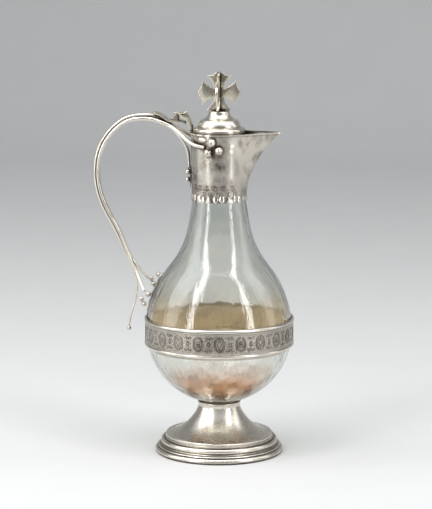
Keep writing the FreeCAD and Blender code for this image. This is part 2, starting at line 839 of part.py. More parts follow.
def make_lid_arm():
    body = new_body("lid_arm")
    bottom = f"({lid_bottom} + 0.4)"
    side = "(-lid_radius - fit_gap)"
    back = f"({side} - 2.2)"
    front = "hinge_height + 2.2"
    under = "(hinge_height - knuckle_radius + 0.1)"
    arm = [
        line(side, f"{bottom} + 1.2"),
        line(f"{side} - 1.0", "hinge_height - 4.4"),
        line(f"{back} + 0.3", "hinge_height - 0.6"),
        arc(f"{back} - 1.6", f"{front} + 0.2", "5", 1),
        arc(f"{pin_x} + 4.4", "hinge_height + 1.5", "2.6", 1),
        arc(f"{pin_x} + 1.0", "hinge_height + 2.0", "2.1", 1),
        arc(f"{pin_x} - knuckle_radius", "hinge_height", "2.6", 1),
        arc(f"{pin_x}", "hinge_height - knuckle_radius", "knuckle_radius", 1),
        line(f"{pin_x} + 1.2", under),
        line(f"{pin_x} + strap_free_end + 0.6", under),
        line(f"{pin_x} + strap_free_end + 1.0", f"{strap_top} - 1.6"),
        line(f"{back} - 0.2", bottom),
        line(side, bottom),
    ]
    pad(body, [arm], "XZ_Plane", "arm_width")
    bore = circle_outline(pin_x, "hinge_height", "(pin_radius + pin_clearance)")
    cut(body, [bore], "XZ_Plane", "2 * arm_width")
    outer = "(strap_width / 2 + 1)"
    inner = "(knuckle_width / 2)"
    for near, far in ((inner, outer), (f"-{outer}", f"-{inner}")):
        sketch = new_sketch(body, "XY_Plane", "hinge_height - 4 * knuckle_radius")
        back = f"{pin_x} - 3 * knuckle_radius"
        front = f"{pin_x} + knuckle_radius + 0.6"
        draw(sketch, rectangle(back, front, near, far))
        feature = body.newObject("PartDesign::Pocket", "lid_arm_cheek")
        feature.Profile = sketch
        feature.Reversed = True
        feature.setExpression("Length", bind("8 * knuckle_radius"))


# Handle


def stem_shape(places, radii, stations):
    """Loft round sections along a smooth line through the given places."""
    curve = Part.BSplineCurve()
    curve.interpolate(places)
    marks = [curve.parameter(place) for place in places]
    total = curve.length()
    first = curve.FirstParameter
    sections = []
    for index in range(stations + 1):
        mark = curve.parameterAtDistance(total * index / stations, first)
        centre = curve.value(mark)
        direction = curve.tangent(mark)[0]
        span = max(i for i in range(len(marks)) if marks[i] <= mark + 1e-9)
        span = min(span, len(marks) - 2)
        share = (mark - marks[span]) / (marks[span + 1] - marks[span])
        radius = radii[span] + (radii[span + 1] - radii[span]) * share
        across = direction.cross(Vector(0, 1, 0)).normalize()
        turned = Rotation(across, Vector(0, 0, 0), direction, "ZXY")
        ring_edge = Part.Circle(Vector(0, 0, 0), Vector(0, 0, 1), radius).toShape()
        wire = Part.Wire([ring_edge])
        wire.Placement = Placement(centre, turned)
        sections.append(wire)
    return Part.makeLoft(sections, True, True)


def add_shape(label, shape):
    feature = doc.addObject("Part::Feature", label)
    feature.Label = label
    feature.Shape = shape
    feature.Placement = Placement()
    pieces.append(feature)


def wall_radius(height):
    """Outer radius of the collar's round part at a height."""
    return f"(collar_radius + collar_flare * ({height} - collar_bottom) / collar_height)"


def on_circle(radius, bearing, height):
    """A place given by its distance from the axis, its bearing from +X and its height."""
    return point(f"({radius}) * cos({bearing})", f"({radius}) * sin({bearing})", height)


def make_handle():
    reach = value("handle_reach")
    crown = value("handle_crown")
    bell = value("body_height")
    flank = value("body_radius")
    thick = value("stem_thickness") / 2
    thin = thick - value("stem_taper") / 2
    solder = value("solder_gap") / 2
    hinge = value("hinge_distance")
    # centreline of the bundle in side view: distance from the axis, height, direction outwards
    bundle = [
        (-hinge - 0.423 * (reach - hinge), crown, 80.0),
        (-hinge - 0.588 * (reach - hinge), crown - 0.0095 * (crown - bell), 112.0),
        (-hinge - 0.792 * (reach - hinge), crown - 0.0616 * (crown - bell), 138.0),
        (-hinge - 0.945 * (reach - hinge), crown - 0.147 * (crown - bell), 161.0),
        (-reach, crown - 0.249 * (crown - bell), 180.0),
        (-flank - 0.962 * (reach - flank), crown - 0.343 * (crown - bell), 192.0),
        (-flank - 0.813 * (reach - flank), crown - 0.439 * (crown - bell), 204.0),
        (-flank - 0.595 * (reach - flank), crown - 0.5335 * (crown - bell), 208.5),
    ]
    outer_row = []
    pair_row = []
    radii = []
    for index, (x, z, bearing) in enumerate(bundle):
        radius = thick + (thin - thick) * index / (len(bundle) - 1)
        away = Vector(math.cos(math.radians(bearing)), 0, math.sin(math.radians(bearing)))
        shift = (radius + solder) * math.sqrt(3) / 2
        centre = Vector(x, 0, z)
        outer_row.append(centre + away * shift)
        pair_row.append((centre - away * shift, radius + solder))
        radii.append(radius)
    stand = f"({wall_radius('(rim_height - 5)')} + stem_thickness / 2 - 0.1)"
    lower_ends = {
        "near_stem": [(10.2, 1.4, 43.0), (5.5, 2.8, 33.4), (0.5, 6.9, 23.8)],
        "far_stem": [(9.9, 1.4, 43.0), (5.0, 2.8, 35.4), (0.5, 4.6, 30.0)],
    }
    for label, side in (("near_stem", -1), ("far_stem", 1)):
        upper = [
            on_circle(stand, side * 111, "rim_height - 6.3"),
            on_circle(f"{stand} + 0.3", side * 127, "rim_height - 5.7"),
            on_circle(f"{stand} + 1.1", side * 142, "rim_height - 4.6"),
            Vector(-hinge + 3.6, side * 6.6, crown - 9.2),
            Vector(-hinge - 3.3, side * 3.1, crown - 4.8),
            Vector(-hinge - 7.0, side * 2.5, crown - 3.3),
            Vector(-hinge - 12.9, side * 1.55, crown - 1.5),
        ]
        middle = [Vector(place.x, side * half, place.z) for place, half in pair_row]
        lower = [Vector(-flank - out, side * apart, bell + rise) for out, apart, rise in lower_ends[label]]
        ends = [thick * 0.85, thick * 0.9, thick * 0.95, thick, thick, thick, thick]
        places_radii = ends + radii + [thin, thin * 0.97, thin * 0.9]
        add_shape(label, stem_shape(upper + middle + lower, places_radii, 30))
    cover = "leaf_thickness + 2 * fit_gap + stem_thickness * 0.42"
    tongue = [
        Vector(-value(f"{wall_radius(height)} + {cover}"), 0, value(height))
        for height in ("(rim_height - 20.5)", "(rim_height - 15.3)")
    ]
    upper = tongue + [
        Vector(-hinge + 6.9, 0, crown - 19.0),
        Vector(-hinge + 5.4, 0, crown - 15.5),
        Vector(-hinge + 1.1, 0, crown - 9.7),
        Vector(-hinge - 3.3, 0, crown - 5.3),
        Vector(-hinge - 6.9, 0, crown - 2.4),
        Vector(-hinge - 12.9, 0, crown + 0.6),
    ]
    tendril = [(11.5, 43.3), (7.2, 33.2), (6.2, 24.2), (7.5, 15.8), (9.8, 8.2), (11.0, 1.6)]
    lower = [Vector(-flank - out, 0, bell + rise) for out, rise in tendril]
    slim = value("tendril_thickness") / 2
    places_radii = [thick * 0.8, thick * 0.85, thick * 0.9, thick * 0.95] + [thick] * 4
    places_radii += radii + [thin * 0.85, thin * 0.75, slim * 1.1, slim, slim, slim * 0.9]
    add_shape("middle_stem", stem_shape(upper + outer_row + lower, places_radii, 36))
    bud = doc.addObject("Part::Ellipsoid", "tendril_bud")
    bud.Label = "tendril_bud"
    bud.setExpression("Radius1", bind("bud_radius * 1.2"))
    bud.setExpression("Radius2", bind("bud_radius"))
    bud.setExpression("Radius3", bind("bud_radius"))
    bud.Angle1 = -90
    bud.Angle2 = 90
    bud.Placement.Base = lower[-1] - Vector(0, 0, value("bud_radius * 1.2"))
    pieces.append(bud)


# Berries and leaves


def berry(label, radius, reach, bearing, height):
    """A round berry at a distance, bearing and height, all bound to the sizes."""
    ball = doc.addObject("Part::Sphere", label)
    ball.Label = label
    ball.setExpression("Radius", bind(radius))
    ball.setExpression("Placement.Base.x", bind(f"{reach} * cos({bearing})"))
    ball.setExpression("Placement.Base.y", bind(f"{reach} * sin({bearing})"))
    ball.setExpression("Placement.Base.z", bind(height))
    pieces.append(ball)


def make_berries():
    cluster = ((102.8, "(rim_height - 9.6)"), (82.8, "(rim_height - 8.1)"), (95.6, "(rim_height - 3.4)"))
    for side, sign in (("near", -1), ("far", 1)):
        for number, (bearing, height) in enumerate(cluster, start=1):
            reach = f"({wall_radius(height)} + berry_radius + fit_gap)"
            berry(f"upper_{side}_berry_{number}", "berry_radius", reach, sign * bearing, height)
    pair = "(rim_height - back_berry_drop)"
    single = f"({pair} - 2.9 * back_berry_radius)"
    leaf_face = f"({wall_radius('(rim_height - back_leaf_drop)')} + fit_gap + leaf_thickness)"
    reach = f"({leaf_face} + back_berry_radius + fit_gap)"
    for number, (bearing, height) in enumerate(((186, pair), (174, pair), (180, single)), start=1):
        berry(f"back_berry_{number}", "back_berry_radius", reach, bearing, height)
    radius = "lower_berry_radius"
    cluster = (("0", f"3.6 * {radius}"), (f"0.4 * {radius}", "0"), (f"1.9 * {radius}", f"1.9 * {radius}"))
    for side, sign, rise in (("near", 1, "near_berry_rise"), ("far", -1, "far_berry_rise")):
        for number, (out, step) in enumerate(cluster, start=1):
            height = f"(body_height + {rise} + {step})"
            lift = f"({bracket_face} + {radius} + fit_gap + {out})"
            reach = glass_radius_above(height, lift)
            berry(f"lower_{side}_berry_{number}", radius, reach, 180 + sign * 9.0, height)


def make_leaves():
    high = "(rim_height - leaf_margin)"
    low = f"({high} - leaf_width)"
    inner = f"({wall_radius(high)} + fit_gap)"
    tip = "-(leaf_root + leaf_length)"
    middle = "-(leaf_root + 0.5 * leaf_length)"
    root = "-leaf_root"
    for label, sign in (("upper_near_leaf", "-"), ("upper_far_leaf", "")):
        section = [
            line(f"{sign}{inner}", low),
            line(f"{sign}({inner} + leaf_thickness)", low),
            line(f"{sign}({inner} + leaf_thickness)", high),
            line(f"{sign}{inner}", high),
        ]
        shape = [
            line(tip, f"{low} + 0.45 * leaf_width"),
            arc(middle, low, "0.45 * leaf_length", 1),
            arc(root, f"{low} + 0.3 * leaf_width", "0.45 * leaf_length", 1),
            arc(root, f"{high} - 0.25 * leaf_width", "0.4 * leaf_width", 1),
            arc(middle, high, "0.45 * leaf_length", 1),
        ]
        bounds = rectangle("-2 * collar_radius", "2 * collar_radius", f"{low} - 3", f"{high} + 3")
        bent_plate(label, section, ("YZ_Plane", "XZ_Plane"), shape, bounds, 130.0)
    high = "(rim_height - back_leaf_drop)"
    low = f"({high} - back_leaf_length)"
    inner = f"({wall_radius(high)} + fit_gap)"
    section = [
        line(f"-{inner}", low),
        line(f"-{inner}", high),
        line(f"-({inner} + leaf_thickness)", high),
        line(f"-({inner} + leaf_thickness)", low),
    ]
    half = "back_leaf_half_width"
    shape = [
        arc("0", low, "0.65 * back_leaf_length", 1),
        arc(f"0.85 * {half}", f"{low} + 0.44 * back_leaf_length", "0.65 * back_leaf_length", 1),
        arc(half, f"{low} + 0.74 * back_leaf_length", "0.4 * back_leaf_length", 1),
        arc("0", high, "0.34 * back_leaf_length", 1),
        arc(f"-{half}", f"{low} + 0.74 * back_leaf_length", "0.34 * back_leaf_length", 1),
        arc(f"-0.85 * {half}", f"{low} + 0.44 * back_leaf_length", "0.4 * back_leaf_length", 1),
    ]
    bounds = rectangle("-2 * collar_radius", "2 * collar_radius", f"{low} - 5", f"{high} + 5")
    bent_plate("back_leaf", section, ("XZ_Plane", "YZ_Plane"), shape, bounds, 60.0)


def make_rivet():
    rivet = doc.addObject("Part::Sphere", "strap_rivet")
    rivet.Label = "strap_rivet"
    rivet.setExpression("Radius", bind("rivet_radius"))
    rivet.setExpression("Placement.Base.x", bind(f"{pin_x} - 8.2"))
    rivet.setExpression("Placement.Base.z", bind("handle_crown - stem_thickness * 1.5 - rivet_radius * 0.9"))
    pieces.append(rivet)


make_foot()
make_foot_lip()
make_foot_plaster()
make_bottle()
make_girdle()
make_bracket()
make_collar()
make_rim_wire()
make_tab_ring()
make_ledge()
ring(
    "neck_plaster",
    "neck_radius",
    "collar_radius - collar_wall - 3 * fit_gap",
    "collar_bottom + 0.1",
    "neck_top - 1.5",
)
make_lid()
make_finial()
make_strap()
make_pin()
make_lid_arm()
make_handle()
make_berries()
make_leaves()
make_rivet()

doc.recompute()

for item in doc.Objects:
    if "Invalid" in item.State or "Error" in item.State:
        raise RuntimeError(f"{item.Label}: {item.State}")

os.makedirs("parts", exist_ok=True)
for piece in pieces:
    shape = piece.Shape
    if shape.isNull() or not shape.isValid():
        raise RuntimeError(f"{piece.Label} has no valid shape")
    shape.exportStep(f"parts/{piece.Label}.step")
print(len(pieces), "pieces")
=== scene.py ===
import math

import bmesh
import bpy
import numpy as np
from bpy.props import FloatProperty, FloatVectorProperty, IntProperty, PointerProperty
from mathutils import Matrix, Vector, noise
from mathutils.bvhtree import BVHTree


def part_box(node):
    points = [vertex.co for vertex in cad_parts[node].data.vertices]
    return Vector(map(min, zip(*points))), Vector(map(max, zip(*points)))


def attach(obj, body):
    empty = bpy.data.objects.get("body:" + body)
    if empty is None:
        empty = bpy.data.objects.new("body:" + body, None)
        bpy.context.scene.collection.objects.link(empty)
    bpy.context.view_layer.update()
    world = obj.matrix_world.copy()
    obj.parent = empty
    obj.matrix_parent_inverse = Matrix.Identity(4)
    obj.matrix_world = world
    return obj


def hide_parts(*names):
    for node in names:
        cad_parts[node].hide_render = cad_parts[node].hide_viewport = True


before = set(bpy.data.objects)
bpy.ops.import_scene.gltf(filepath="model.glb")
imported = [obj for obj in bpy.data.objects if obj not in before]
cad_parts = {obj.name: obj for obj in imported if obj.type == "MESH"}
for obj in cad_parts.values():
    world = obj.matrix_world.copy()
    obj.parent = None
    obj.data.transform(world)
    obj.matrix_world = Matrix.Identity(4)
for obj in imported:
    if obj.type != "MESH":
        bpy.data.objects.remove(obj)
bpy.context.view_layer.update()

bl_info = {
    "name": "Altar cruet",
    "version": (1, 0, 0),
    "blender": (4, 5, 0),
    "location": "3D View > Sidebar > Altar cruet",
    "description": "Dresses a glass altar cruet with silver mounts, piece by piece",
    "category": "Object",
}

MM = 0.001


# Colours and nodes


def linear(code):
    """Turn an sRGB hex colour into linear red, green and blue."""
    shares = [int(code[place : place + 2], 16) / 255 for place in (1, 3, 5)]
    return tuple(c / 12.92 if c <= 0.04045 else ((c + 0.055) / 1.055) ** 2.4 for c in shares)


def opaque(colour):
    return (*colour, 1.0)


def add_node(tree, kind, inputs=None, **settings):
    """Add a shader node, give it its settings, and link or fill its inputs."""
    made = tree.nodes.new("ShaderNode" + kind)
    for name, setting in settings.items():
        setattr(made, name, setting)
    for key, source in (inputs or {}).items():
        if isinstance(source, bpy.types.NodeSocket):
            tree.links.new(source, made.inputs[key])
        else:
            made.inputs[key].default_value = source
    return made


def per_mm(size):
    """Texture scale that gives one feature in this many millimetres."""
    return 1.0 / (size * MM)


def start_material(name):
    material = bpy.data.materials.new(name)
    material.use_nodes = True
    tree = material.node_tree
    tree.nodes.clear()
    shader = add_node(tree, "BsdfPrincipled")
    add_node(tree, "OutputMaterial", {"Surface": shader.outputs["BSDF"]})
    return material, tree, shader


def material_named(name, make):
    """The material of this name, made the first time that it is asked for."""
    return bpy.data.materials.get(name) or make(name)


# Settings that a user would change


class CruetSilverSettings(bpy.types.PropertyGroup):
    silver: FloatVectorProperty(
        name="Silver",
        description="Colour of the clean, rubbed silver",
        subtype="COLOR",
        size=3,
        min=0.0,
        max=1.0,
        default=linear("#D3CDC2"),
    )
    # The tarnish colour also paints the shade that ambient occlusion finds in hollows and between
    # parts.
    tarnish: FloatVectorProperty(
        name="Tarnish",
        description="Colour of the old tarnish that stays where no cloth reaches",
        subtype="COLOR",
        size=3,
        min=0.0,
        max=1.0,
        default=linear("#4B4036"),
    )
    warm: FloatVectorProperty(
        name="Yellowed silver",
        description="Colour of the thin yellow film on the finial and the cast pieces",
        subtype="COLOR",
        size=3,
        min=0.0,
        max=1.0,
        default=linear("#DCD5C3"),
    )
    tarnish_amount: FloatProperty(
        name="Tarnish amount",
        description="How much of the surface the tarnish covers",
        subtype="FACTOR",
        min=0.0,
        max=1.0,
        default=0.42,
    )
    roughness: FloatProperty(
        name="Roughness",
        description="Roughness of the rubbed silver",
        subtype="FACTOR",
        min=0.05,
        max=0.6,
        default=0.2,
    )


class CruetGlassSettings(bpy.types.PropertyGroup):
    glass: FloatVectorProperty(
        name="Glass",
        description="Tint of the blown glass",
        subtype="COLOR",
        size=3,
        min=0.0,
        max=1.0,
        default=linear("#F2F4F0"),
    )
    residue: FloatVectorProperty(
        name="Dried wine",
        description="Colour of the dried wine at the bottom of the bottle",
        subtype="COLOR",
        size=3,
        min=0.0,
        max=1.0,
        default=linear("#BE7726"),
    )
    haze: FloatVectorProperty(
        name="Tan haze",
        description="Colour of the haze that a filling has left over the girdle",
        subtype="COLOR",
        size=3,
        min=0.0,
        max=1.0,
        default=linear("#D2B48C"),
    )
    haze_height: FloatProperty(
        name="Haze height",
        description="How far up the bottle the tan haze reaches",
        subtype="DISTANCE",
        unit="LENGTH",
        min=0.08,
        max=0.12,
        default=0.095,
    )


class CruetHandleSettings(bpy.types.PropertyGroup):
    stem_thickness: FloatProperty(
        name="Stem thickness",
        description="Thickness of each of the three stems at the top of the handle",
        subtype="DISTANCE",
        unit="LENGTH",
        min=0.0018,
        max=0.0023,
        default=0.0023,
    )
    knot_spacing: FloatProperty(
        name="Knot spacing",
        description="Distance from one swelling of a stem to the next",
        subtype="DISTANCE",
        unit="LENGTH",
        min=0.01,
        max=0.06,
        default=0.027,
    )
    drupelets: IntProperty(
        name="Drupelets",
        description="Number of round lobes on each of the six large berries",
        min=6,
        max=60,
        default=9,
    )


class CruetOrnamentSettings(bpy.types.PropertyGroup):
    roundels: IntProperty(
        name="Roundels",
        description="Number of oval roundels round the girdle",
        min=12,
        max=32,
        default=22,
    )
    line_width: FloatProperty(
        name="Graver line",
        description="Width of an engraved line",
        subtype="DISTANCE",
        unit="LENGTH",
        min=0.0002,
        max=0.0008,
        default=0.0005,
    )
    petal_bulge: FloatProperty(
        name="Petal bulge",
        description="How far each petal of the collar's lower edge stands out",
        subtype="DISTANCE",
        unit="LENGTH",
        min=0.0,
        max=0.0005,
        default=0.00045,
    )


class CruetStageSettings(bpy.types.PropertyGroup):
    floor: FloatVectorProperty(
        name="Floor",
        description="Colour of the floor and the backdrop",
        subtype="COLOR",
        size=3,
        min=0.0,
        max=1.0,
        default=linear("#CFCFCE"),
    )
    azimuth: FloatProperty(
        name="Camera azimuth",
        description="Bearing of the camera from straight in front, towards the spout",
        subtype="ANGLE",
        unit="ROTATION",
        default=math.radians(8.0),
    )
    distance: FloatProperty(
        name="Camera distance",
        description="Level distance from the cruet's axis to the camera",
        subtype="DISTANCE",
        unit="LENGTH",
        min=0.5,
        max=5.0,
        default=1.35,
    )
    height: FloatProperty(
        name="Camera height",
        description="Height of the camera over the floor",
        subtype="DISTANCE",
        unit="LENGTH",
        min=0.0,
        max=2.0,
        default=0.35,
    )
    aim_aside: FloatProperty(
        name="Aim to the side",
        description="How far right of the cruet's axis the camera looks",
        subtype="DISTANCE",
        unit="LENGTH",
        min=-0.1,
        max=0.1,
        default=-0.0019,
    )
    aim_height: FloatProperty(
        name="Aim height",
        description="Height that the camera looks at",
        subtype="DISTANCE",
        unit="LENGTH",
        min=0.0,
        max=0.3,
        default=0.1184,
    )
    lens: FloatProperty(
        name="Lens",
        description="Focal length in millimetres on a sensor of 36 mm",
        min=50.0,
        max=300.0,
        default=164.0,
    )
    softbox_power: FloatProperty(
        name="Softbox power",
        description="Power that the lamps' shares are taken of",
        subtype="POWER",
        unit="POWER",
        min=0.0,
        max=100.0,
        default=4.3,
    )


# Materials


def shade(colour, share):
    """The colour times a share, but no brighter than white."""
    return tuple(min(1.0, share * part) for part in colour)


def silver_finish(name, colour, tarnish_share, roughness, unevenness, grain=1.0, patches=0.0):
    """Silver rubbed bright on its high places, with its tarnish and painted shade kept in the low
    ones.

    Unevenness is the depth of the hammered waves in millimetres, grain widens the fine mottle, and
    patches brings out the large clouds of tarnish."""
    settings = bpy.context.scene.cruet_silver
    material, tree, shader = start_material(name)
    place = add_node(tree, "TexCoord").outputs["Object"]
    clouds = add_node(
        tree,
        "TexNoise",
        {"Vector": place, "Scale": per_mm(17.0), "Detail": 3.0, "Roughness": 0.6},
    )
    mottle = add_node(
        tree,
        "TexNoise",
        {"Vector": place, "Scale": per_mm(2.1 * grain), "Detail": 4.0, "Roughness": 0.7},
    )
    # Ambient occlusion marks the hollows and the places where parts meet; the tarnish there is
    # partly real patina and partly painted shade.
    hollow = add_node(tree, "AmbientOcclusion", {"Distance": 2.2 * MM}, samples=6)
    closed = add_node(
        tree,
        "MapRange",
        {"Value": hollow.outputs["AO"], 1: 0.35, 2: 0.95, 3: 1.0, 4: 0.0},
    )
    tarnish_and_shade = add_node(
        tree,
        "Math",
        {0: clouds.outputs["Fac"], 1: mottle.outputs["Fac"], 2: closed.outputs[0]},
        operation="MULTIPLY_ADD",
    )
    spread = add_node(
        tree,
        "MapRange",
        {"Value": clouds.outputs["Fac"], 1: 0.44, 2: 0.6, 3: 0.0, 4: patches},
    )
    blotched = add_node(
        tree,
        "Math",
        {0: spread.outputs[0], 1: mottle.outputs["Fac"], 2: tarnish_and_shade.outputs[0]},
        operation="MULTIPLY_ADD",
    )
    clean_below = 0.36 - 0.25 * tarnish_share
    black_above = 1.0 - 0.35 * tarnish_share
    amount = add_node(
        tree,
        "MapRange",
        {"Value": blotched.outputs[0], 1: clean_below, 2: black_above, 3: 0.0, 4: 1.0},
    )
    tone = add_node(
        tree,
        "Mix",
        {0: amount.outputs[0], 6: opaque(colour), 7: opaque(settings.tarnish)},
        data_type="RGBA",
    )
    tree.links.new(tone.outputs[2], shader.inputs["Base Color"])
    dull = add_node(
        tree,
        "MapRange",
        {"Value": tarnish_and_shade.outputs[0], 1: 0.15, 2: 0.9, 3: roughness, 4: roughness + 0.2},
    )
    tree.links.new(dull.outputs[0], shader.inputs["Roughness"])
    shader.inputs["Metallic"].default_value = 1.0
    waves = add_node(
        tree,
        "TexNoise",
        {"Vector": place, "Scale": per_mm(11.0), "Detail": 2.0, "Roughness": 0.45},
    )
    scratch_place = add_node(tree, "Mapping", {"Vector": place, "Scale": (1.0, 1.0, 7.0)})
    scratches = add_node(
        tree,
        "TexNoise",
        {
            "Vector": scratch_place.outputs[0],
            "Scale": per_mm(2.6),
            "Detail": 5.0,
            "Roughness": 0.75,
        },
    )
    low = add_node(
        tree,
        "Bump",
        {"Height": waves.outputs["Fac"], "Strength": 1.0, "Distance": unevenness * MM},
    )
    fine = add_node(
        tree,
        "Bump",
        {
            "Height": scratches.outputs["Fac"],
            "Strength": 0.55,
            "Distance": 0.02 * MM,
            "Normal": low.outputs[0],
        },
    )
    tree.links.new(fine.outputs[0], shader.inputs["Normal"])
    return material


def raised_silver(name):
    # Sheet silver raised with a hammer and planished: the reflections wander a little, brown grey
    # tarnish clouds lie where the hand doesn't rub, and painted shade darkens the hollows.
    settings = bpy.context.scene.cruet_silver
    worn = shade(settings.silver, 0.88)
    tarnish = settings.tarnish_amount + 0.2
    return silver_finish(name, worn, tarnish, settings.roughness, 0.5, patches=0.55)


def spun_silver(name):
    # Sheet silver spun and turned on a lathe, as on the foot and the lid: steady bright lines with
    # dark lines of tarnish and painted shade in the grooves between the mouldings.
    settings = bpy.context.scene.cruet_silver
    bright = shade(settings.silver, 1.16)
    tarnish = settings.tarnish_amount - 0.12
    return silver_finish(name, bright, tarnish, settings.roughness + 0.05, 0.16)


def drawn_silver(name):
    # Silver wire drawn through a plate and bent: smooth along its length, with tarnish and painted
    # shade where the stems lie against each other.
    settings = bpy.context.scene.cruet_silver
    bright = shade(settings.silver, 1.16)
    tarnish = settings.tarnish_amount - 0.15
    return silver_finish(name, bright, tarnish, settings.roughness - 0.03, 0.06)


def cast_silver(name):
    # Silver cast in sand and filed by hand: a softer, grainier shine with a slight yellow film.
    settings = bpy.context.scene.cruet_silver
    tarnish = settings.tarnish_amount + 0.15
    return silver_finish(name, settings.warm, tarnish, settings.roughness + 0.06, 0.12, 0.6)


def chased_silver(name):
    # Cast silver chased with punches, as on berries and leaves: bright tops over hollows made
    # black by tarnish and painted shade.
    settings = bpy.context.scene.cruet_silver
    tarnish = settings.tarnish_amount + 0.3
    return silver_finish(name, settings.silver, tarnish, settings.roughness, 0.04, 0.5)


def graver_cut_tarnish_and_shade(name):
    # The floor of a line cut with a graver, in which polish and tarnish have dried, and the shade
    # of the cut is painted in: almost black.
    return silver_finish(name, linear("#4A4138"), 0.9, 0.5, 0.02, 0.4)


def matted_silver(name):
    # Silver matted with a fine punch, the ground of the engraved girdle. The real punch marks are
    # about 0.3 mm across; they are drawn at 0.75 mm, because finer ones don't show.
    settings = bpy.context.scene.cruet_silver
    worn = shade(settings.silver, 0.8)
    tarnish = settings.tarnish_amount + 0.2
    material = silver_finish(name, worn, tarnish, settings.roughness + 0.04, 0.1)
    tree = material.node_tree
    shader = next(item for item in tree.nodes if item.type == "BSDF_PRINCIPLED")
    place = add_node(tree, "TexCoord").outputs["Object"]
    dots = add_node(
        tree,
        "TexVoronoi",
        {"Vector": place, "Scale": per_mm(0.75), "Randomness": 0.75},
        feature="F1",
    )
    pits = add_node(
        tree,
        "MapRange",
        {"Value": dots.outputs["Distance"], 1: 0.12, 2: 0.5, 3: 1.0, 4: 0.0},
    )
    # The punch stays off the plain borders of the band.
    body = add_node(tree, "SeparateXYZ", {0: place})
    off_centre = add_node(
        tree,
        "Math",
        {0: body.outputs[2], 1: GIRDLE_HEIGHT * MM},
        operation="SUBTRACT",
    )
    distance = add_node(tree, "Math", {0: off_centre.outputs[0]}, operation="ABSOLUTE")
    field = add_node(
        tree,
        "MapRange",
        {"Value": distance.outputs[0], 1: 4.9 * MM, 2: 5.3 * MM, 3: 1.0, 4: 0.0},
    )
    worked = add_node(
        tree,
        "Math",
        {0: pits.outputs[0], 1: field.outputs[0]},
        operation="MULTIPLY",
    )
    old_tone = shader.inputs["Base Color"].links[0].from_socket
    tone = add_node(
        tree,
        "Mix",
        {0: worked.outputs[0], 6: old_tone, 7: opaque(linear("#3B342D"))},
        data_type="RGBA",
    )
    tree.links.new(tone.outputs[2], shader.inputs["Base Color"])
    old_normal = shader.inputs["Normal"].links[0].from_socket
    punched = add_node(
        tree,
        "Bump",
        {
            "Height": worked.outputs[0],
            "Strength": 0.8,
            "Distance": 0.08 * MM,
            "Normal": old_normal,
        },
        invert=True,
    )
    tree.links.new(punched.outputs[0], shader.inputs["Normal"])
    return material


def blown_glass(name):
    # Clear soda glass blown and drawn out on the iron: long reeds in its skin bend what is seen
    # through it into upright stripes.
    settings = bpy.context.scene.cruet_glass
    material, tree, shader = start_material(name)
    shader.inputs["Base Color"].default_value = opaque(settings.glass)
    shader.inputs["Transmission Weight"].default_value = 1.0
    shader.inputs["IOR"].default_value = 1.52
    shader.inputs["Roughness"].default_value = 0.02
    place = add_node(tree, "TexCoord").outputs["Object"]
    drawn = add_node(tree, "Mapping", {"Vector": place, "Scale": (1.0, 1.0, 0.06)})
    reeds = add_node(
        tree,
        "TexNoise",
        {"Vector": drawn.outputs[0], "Scale": per_mm(3.6), "Detail": 2.5, "Roughness": 0.55},
    )
    skin = add_node(
        tree,
        "Bump",
        {"Height": reeds.outputs["Fac"], "Strength": 1.0, "Distance": 0.2 * MM},
    )
    tree.links.new(skin.outputs[0], shader.inputs["Normal"])
    # Clear glass hardly dims the light that falls on what stands behind it.
    path = add_node(tree, "LightPath")
    passed = add_node(tree, "BsdfTransparent", {"Color": opaque(linear("#E6EAE6"))})
    clear = add_node(
        tree,
        "MixShader",
        {0: path.outputs["Is Shadow Ray"], 1: shader.outputs["BSDF"], 2: passed.outputs[0]},
    )
    end = next(item for item in tree.nodes if item.type == "OUTPUT_MATERIAL")
    tree.links.new(clear.outputs[0], end.inputs["Surface"])
    return material


def dried_wine(name, colour, cover, low, high):
    """A thin dry film on the inside of the glass, thickest at low and gone at high."""
    material, tree, shader = start_material(name)
    place = add_node(tree, "TexCoord").outputs["Object"]
    clouds = add_node(
        tree,
        "TexNoise",
        {"Vector": place, "Scale": per_mm(9.0), "Detail": 6.0, "Roughness": 0.65},
    )
    specks = add_node(
        tree,
        "TexNoise",
        {"Vector": place, "Scale": per_mm(1.4), "Detail": 3.0, "Roughness": 0.6},
    )
    height = add_node(tree, "SeparateXYZ", {0: place})
    depth = add_node(
        tree,
        "MapRange",
        {"Value": height.outputs[2], 1: low * MM, 2: high * MM, 3: 1.0, 4: 0.0},
    )
    ragged = add_node(
        tree,
        "Math",
        {0: clouds.outputs["Fac"], 1: 1.1, 2: depth.outputs[0]},
        operation="MULTIPLY_ADD",
    )
    spotted = add_node(
        tree,
        "Math",
        {0: specks.outputs["Fac"], 1: 0.5, 2: ragged.outputs[0]},
        operation="MULTIPLY_ADD",
    )
    film = add_node(
        tree,
        "MapRange",
        {"Value": spotted.outputs[0], 1: 0.92, 2: 1.8, 3: 0.0, 4: cover},
    )
    # A film looks denser where it is seen edge on.
    slant = add_node(tree, "LayerWeight", {"Blend": 0.35})
    denser = add_node(
        tree,
        "MapRange",
        {"Value": slant.outputs["Facing"], 1: 0.0, 2: 0.9, 3: 0.8, 4: 1.7},
    )
    seen = add_node(
        tree,
        "Math",
        {0: film.outputs[0], 1: denser.outputs[0]},
        operation="MULTIPLY",
        use_clamp=True,
    )
    tree.links.new(seen.outputs[0], shader.inputs["Alpha"])
    blotch = add_node(
        tree,
        "MapRange",
        {"Value": clouds.outputs["Fac"], 1: 0.4, 2: 0.62, 3: 0.0, 4: 1.0},
    )
    tone = add_node(
        tree,
        "Mix",
        {0: blotch.outputs[0], 6: opaque(colour), 7: opaque(shade(colour, 0.5))},
        data_type="RGBA",
    )
    tree.links.new(tone.outputs[2], shader.inputs["Base Color"])
    shader.inputs["Roughness"].default_value = 0.55
    return material


